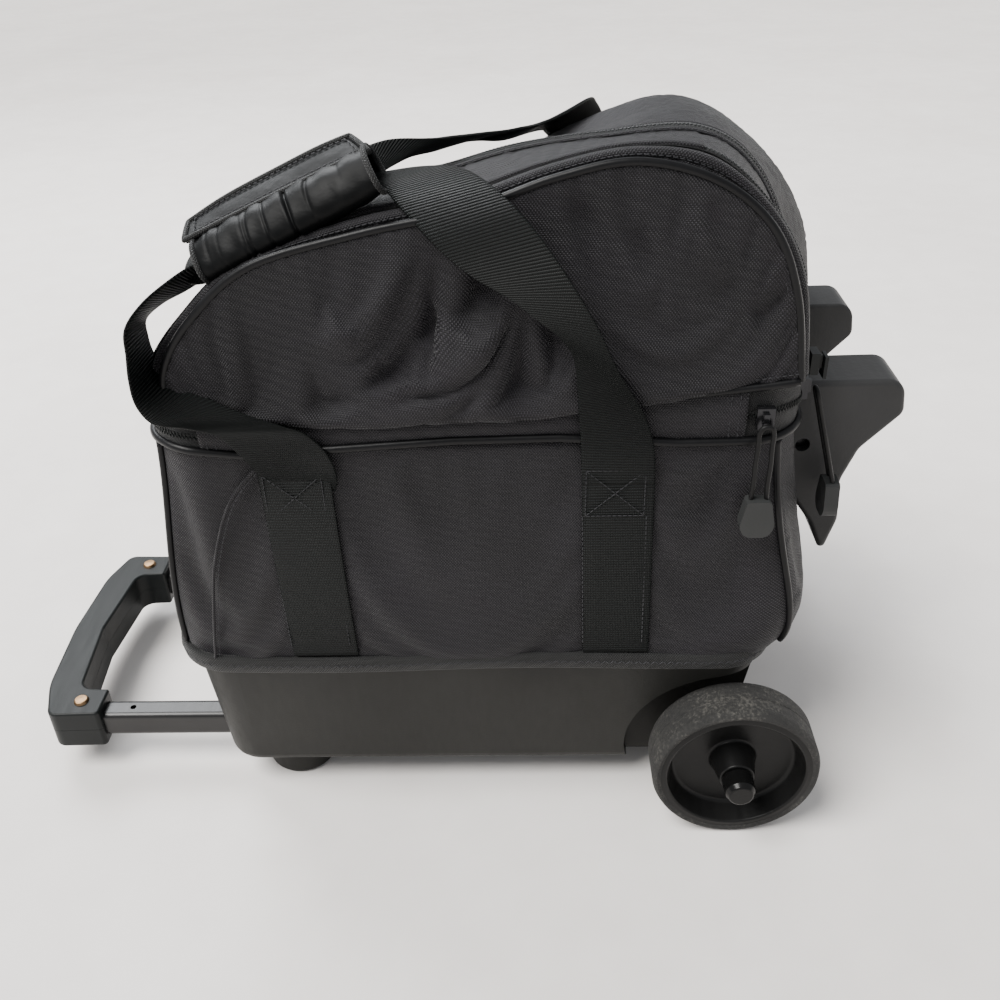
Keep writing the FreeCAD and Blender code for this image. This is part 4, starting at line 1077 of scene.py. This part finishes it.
def loops():
    """The two carry loops: the near one twists up to the wrap, and the far one lies over the dome."""
    right = ribbon("near_strap_right", NEAR_RIGHT_LOWER, NEAR_RIGHT_UPPER, count=220, ripple=0.5)
    left = ribbon("near_strap_left", NEAR_LEFT_OUTER, NEAR_LEFT_INNER, count=220, ripple=0.4)
    for piece in (right, left):
        keep(piece, "near_handle")
    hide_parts("near_strap_loop")
    left_leg, right_leg = LEG_CENTRES
    centres = [(right_leg, 126.5, 250), (right_leg, 128.5, 280), (right_leg, 129.5, 315),
               (right_leg - 3, 128, 342), (right_leg - 7, 121, 354), (102, 108, 364), (97, 88, 377),
               (92, 70, 388), (87, 52, 394), (66, 6, 397), (47, -17, 400), (31, -42, 403),
               (17, -60, 405), (3, -76, 404), (-12, -86, 400), (-32, -92, 392)]
    across = [(1, 0, 0), (1, 0, 0), (1, 0, 0), (1, 0.1, 0), (1, 0.15, 0), (1, 0.2, 0.18), (0.95, 0.35, 0.25),
              (0.9, 0.4, 0.36), (0.85, 0.5, 0.36), (0.75, 0.66, 0.12), (0.75, 0.66, 0), (0.72, 0.7, 0.05),
              (0.7, 0.7, 0.1), (0.6, 0.7, 0.3), (0.4, 0.6, 0.6), (0.3, 0.5, 0.7)]
    far_right = strap_round("far_strap_right", centres, across, 220)
    centres = [(left_leg, 126.5, 250), (left_leg, 128.5, 290), (left_leg, 129.5, 322),
               (left_leg - 1, 126, 339), (left_leg - 3, 112, 347), (-64, 80, 355), (-69, 40, 362),
               (-75, 0, 367), (-84, -40, 368),
               (-94, -70, 365), (-94, -88, 364), (-80, -96, 370)]
    across = [(1, 0, 0), (1, 0, 0), (1, 0, 0), (1, 0, 0), (1, 0, 0.1), (1, 0, 0.2), (0.95, 0, 0.3),
              (0.9, 0, 0.35), (0.9, 0, 0.4), (0.8, 0.3, 0.5), (0.5, 0.5, 0.6), (0.3, 0.5, 0.7)]
    far_left = strap_round("far_strap_left", centres, across, 180)
    inside = ribbon("far_strap_inside", [(-24, -83, 404), (-40, -90, 396), (-62, -92, 386), (-80, -88, 380)],
                    [(-38, -102, 378), (-50, -106, 377), (-66, -107, 371), (-85, -105, 360)], count=60)
    keep(inside, "far_handle")
    for piece in (far_right, far_left):
        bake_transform(piece)
    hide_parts("far_strap_loop")


# The padded wrap's centre line and its section as (towards the near side, up) round a soft flat tube.
WRAP_LINE = [(-92, -101, 365), (-78, -101, 372), (-48, -101, 386), (-22, -100, 398), (-6, -99, 406)]
WRAP_UP = (-0.42, 0.0, 0.91)
WRAP_SECTION = [(-14, -5), (-15, 3), (-10, 9), (-1, 11), (8, 9),
                (15, 2), (17, -4), (13, -9), (2, -11), (-8, -10)]


def wrap():
    """The hand wrap: a padded tube creased across by use, closed with a stiff stitched flap."""
    count, sides = 180, 64
    line = smooth(WRAP_LINE, count)
    _, side, up = frames_along(line, WRAP_UP)
    section = smooth(WRAP_SECTION, sides, closed=True)
    along = np.linspace(0, 1, count)
    turn = np.linspace(0, 2 * math.pi, sides, endpoint=False)
    size_along = 1 + 0.06 * np.sin(np.pi * along) - 0.08 * hump(along, 0, 0.05) - 0.04 * hump(along, 1, 0.05)
    dip = np.zeros((count, sides))
    for place, deep, wide, slant in ((0.10, 0.7, 0.010, 0.3), (0.17, 0.9, 0.008, 0.4),
                                     (0.27, 1.3, 0.009, -0.4), (0.34, 1.6, 0.010, 0.5),
                                     (0.41, 1.0, 0.008, -0.3), (0.53, 1.8, 0.010, -0.5),
                                     (0.68, 0.8, 0.010, 0.35), (0.84, 0.6, 0.012, -0.2)):
        centre = place + slant * 0.05 * np.cos(turn)[None]
        dip -= deep * hump(along[:, None], centre, wide) * (0.6 + 0.4 * np.sin(turn + place * 9)[None])
    soft = 0.35 * np.sin(along * 47)[:, None] * np.sin(2 * turn + 1)[None]
    reach = np.linalg.norm(section, axis=1)[None]
    scale = size_along[:, None] * (1 + (dip + soft) / reach)
    grid = (line[:, None] + side[:, None] * (section[None, :, :1] * scale[..., None])
            + up[:, None] * (section[None, :, 1:] * scale[..., None]))
    body = grid_object("wrap_body", grid, WRAP_CLOTH, pairs(along * 105, turn * 14), closed=True)
    mouths = {"left": grid[0], "right": grid[-1]}
    thicken(body, 2.6)
    keep(body, "near_handle")
    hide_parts("handle_wrap")

    front = smooth([(-101, -101, 374.5), (-95, -101, 377), (-52, -101, 396),
                    (-12, -101, 413), (-8, -101, 414)], 90)
    back = smooth([(-102, -86, 378), (-98, -86, 380), (-61, -86, 400),
                   (-22, -86, 415.5), (-18, -86, 416.5)], 90)
    shares = np.linspace(0, 1, 14)
    lift = 1.2 * np.sin(np.linspace(0, 9, 90))[None, :, None] * np.array([0, 0, 0.5])
    grid = front[None] * (1 - shares[:, None, None]) + back[None] * shares[:, None, None]
    bulge = np.array([0, 0, 0.8]) * np.sin(np.pi * shares * 0.8)[:, None, None]
    grid = grid + bulge + lift * shares[:, None, None]
    flap = grid_object("wrap_flap", grid, WRAP_CLOTH, pairs(shares * 16, np.linspace(0, 96, 90))[..., ::-1])
    thicken(flap, 2.4)
    keep(flap, "near_handle")
    facing = (-0.2, -0.6, 0.8)
    rim = np.vstack([grid[0], grid[:, -1], grid[-1][::-1], grid[:, 0][::-1]])
    rim = evenly(rim, 200, closed=True)
    keep(tube("wrap_flap_binding", rim, 1.5, BINDING, facing, closed=True, sides=8), "near_handle")
    raised = grid + np.array([0, -0.3, 0.5])
    for row in (2, 11):
        keep(stitches(f"wrap_flap_row_{row}", raised[row, 4:-4], facing), "near_handle")
    for column in (5, 84):
        keep(stitches(f"wrap_flap_end_{column}", evenly(raised[1:-1, column], 20), facing), "near_handle")
    for end, mouth in mouths.items():
        outward = mouth - mouth.mean(axis=0)
        keep(tube(f"wrap_mouth_{end}", mouth, 1.5, BINDING, outward, closed=True, sides=8), "near_handle")


# One zip pull's cord, seen from in front of its slider: millimetres across and up from the slider's bridge.
LOOP = [(-4.0, -42.0), (-3.5, -34.0), (-3.9, -22.0), (-3.4, -11.0), (-3.9, -3.6), (-1.9, -0.1),
        (1.9, -0.1), (3.9, -3.6), (3.4, -11.0), (4.1, -22.0), (3.5, -34.0), (4.0, -42.0)]
CORD_DIAMETER = 2.6
PULLS = {1: {"hook": (182, -129.9, 284), "near": True, "slant": 0.0, "stretch": 1.0, "length": 0.0879,
             "body": "pull_one"},
         2: {"hook": (212.7, -91, 284), "near": False, "slant": 0.28, "stretch": 1.35, "length": 0.1216,
             "body": "pull_two"}}


def pull_cords():
    """The knotted-cord loops of the two main zip pulls."""
    for number, pull in PULLS.items():
        x, y, z = pull["hook"]
        route = []
        for across, drop in LOOP:
            down = drop * pull["stretch"] if drop < -20 else drop
            away = 3.0 - pull["slant"] * down
            if pull["near"]:
                route.append((x + across, y - away, z + down))
            else:
                route.append((x + away, y + across, z + down))
        data = bpy.data.curves.new(f"pull_cord_line_{number}", "CURVE")
        data.dimensions = "3D"
        data.bevel_depth = CORD_DIAMETER / 2 * MM
        data.bevel_resolution = 4
        data.use_fill_caps = True
        spline = data.splines.new("NURBS")
        spline.points.add(len(route) - 1)
        for point, place in zip(spline.points, route):
            point.co = (*(np.array(place) * MM), 1)
        spline.order_u = 3
        spline.use_endpoint_u = True
        spline.resolution_u = 16
        obj = bpy.data.objects.new(f"pull_cord_line_{number}", data)
        bpy.context.scene.collection.objects.link(obj)
        data.materials.append(CORD)
        keep(obj, pull["body"])
        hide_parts(f"pull_cord_{number}")


def build():
    camera_and_stage()
    pull_cords()
    dress_cad_nodes()
    lower_body()
    lower_trim()
    dome()
    dome_panels()
    inner_panels()
    dome_trim()
    main_zip()
    sewn_legs()
    loops()
    wrap()


build()
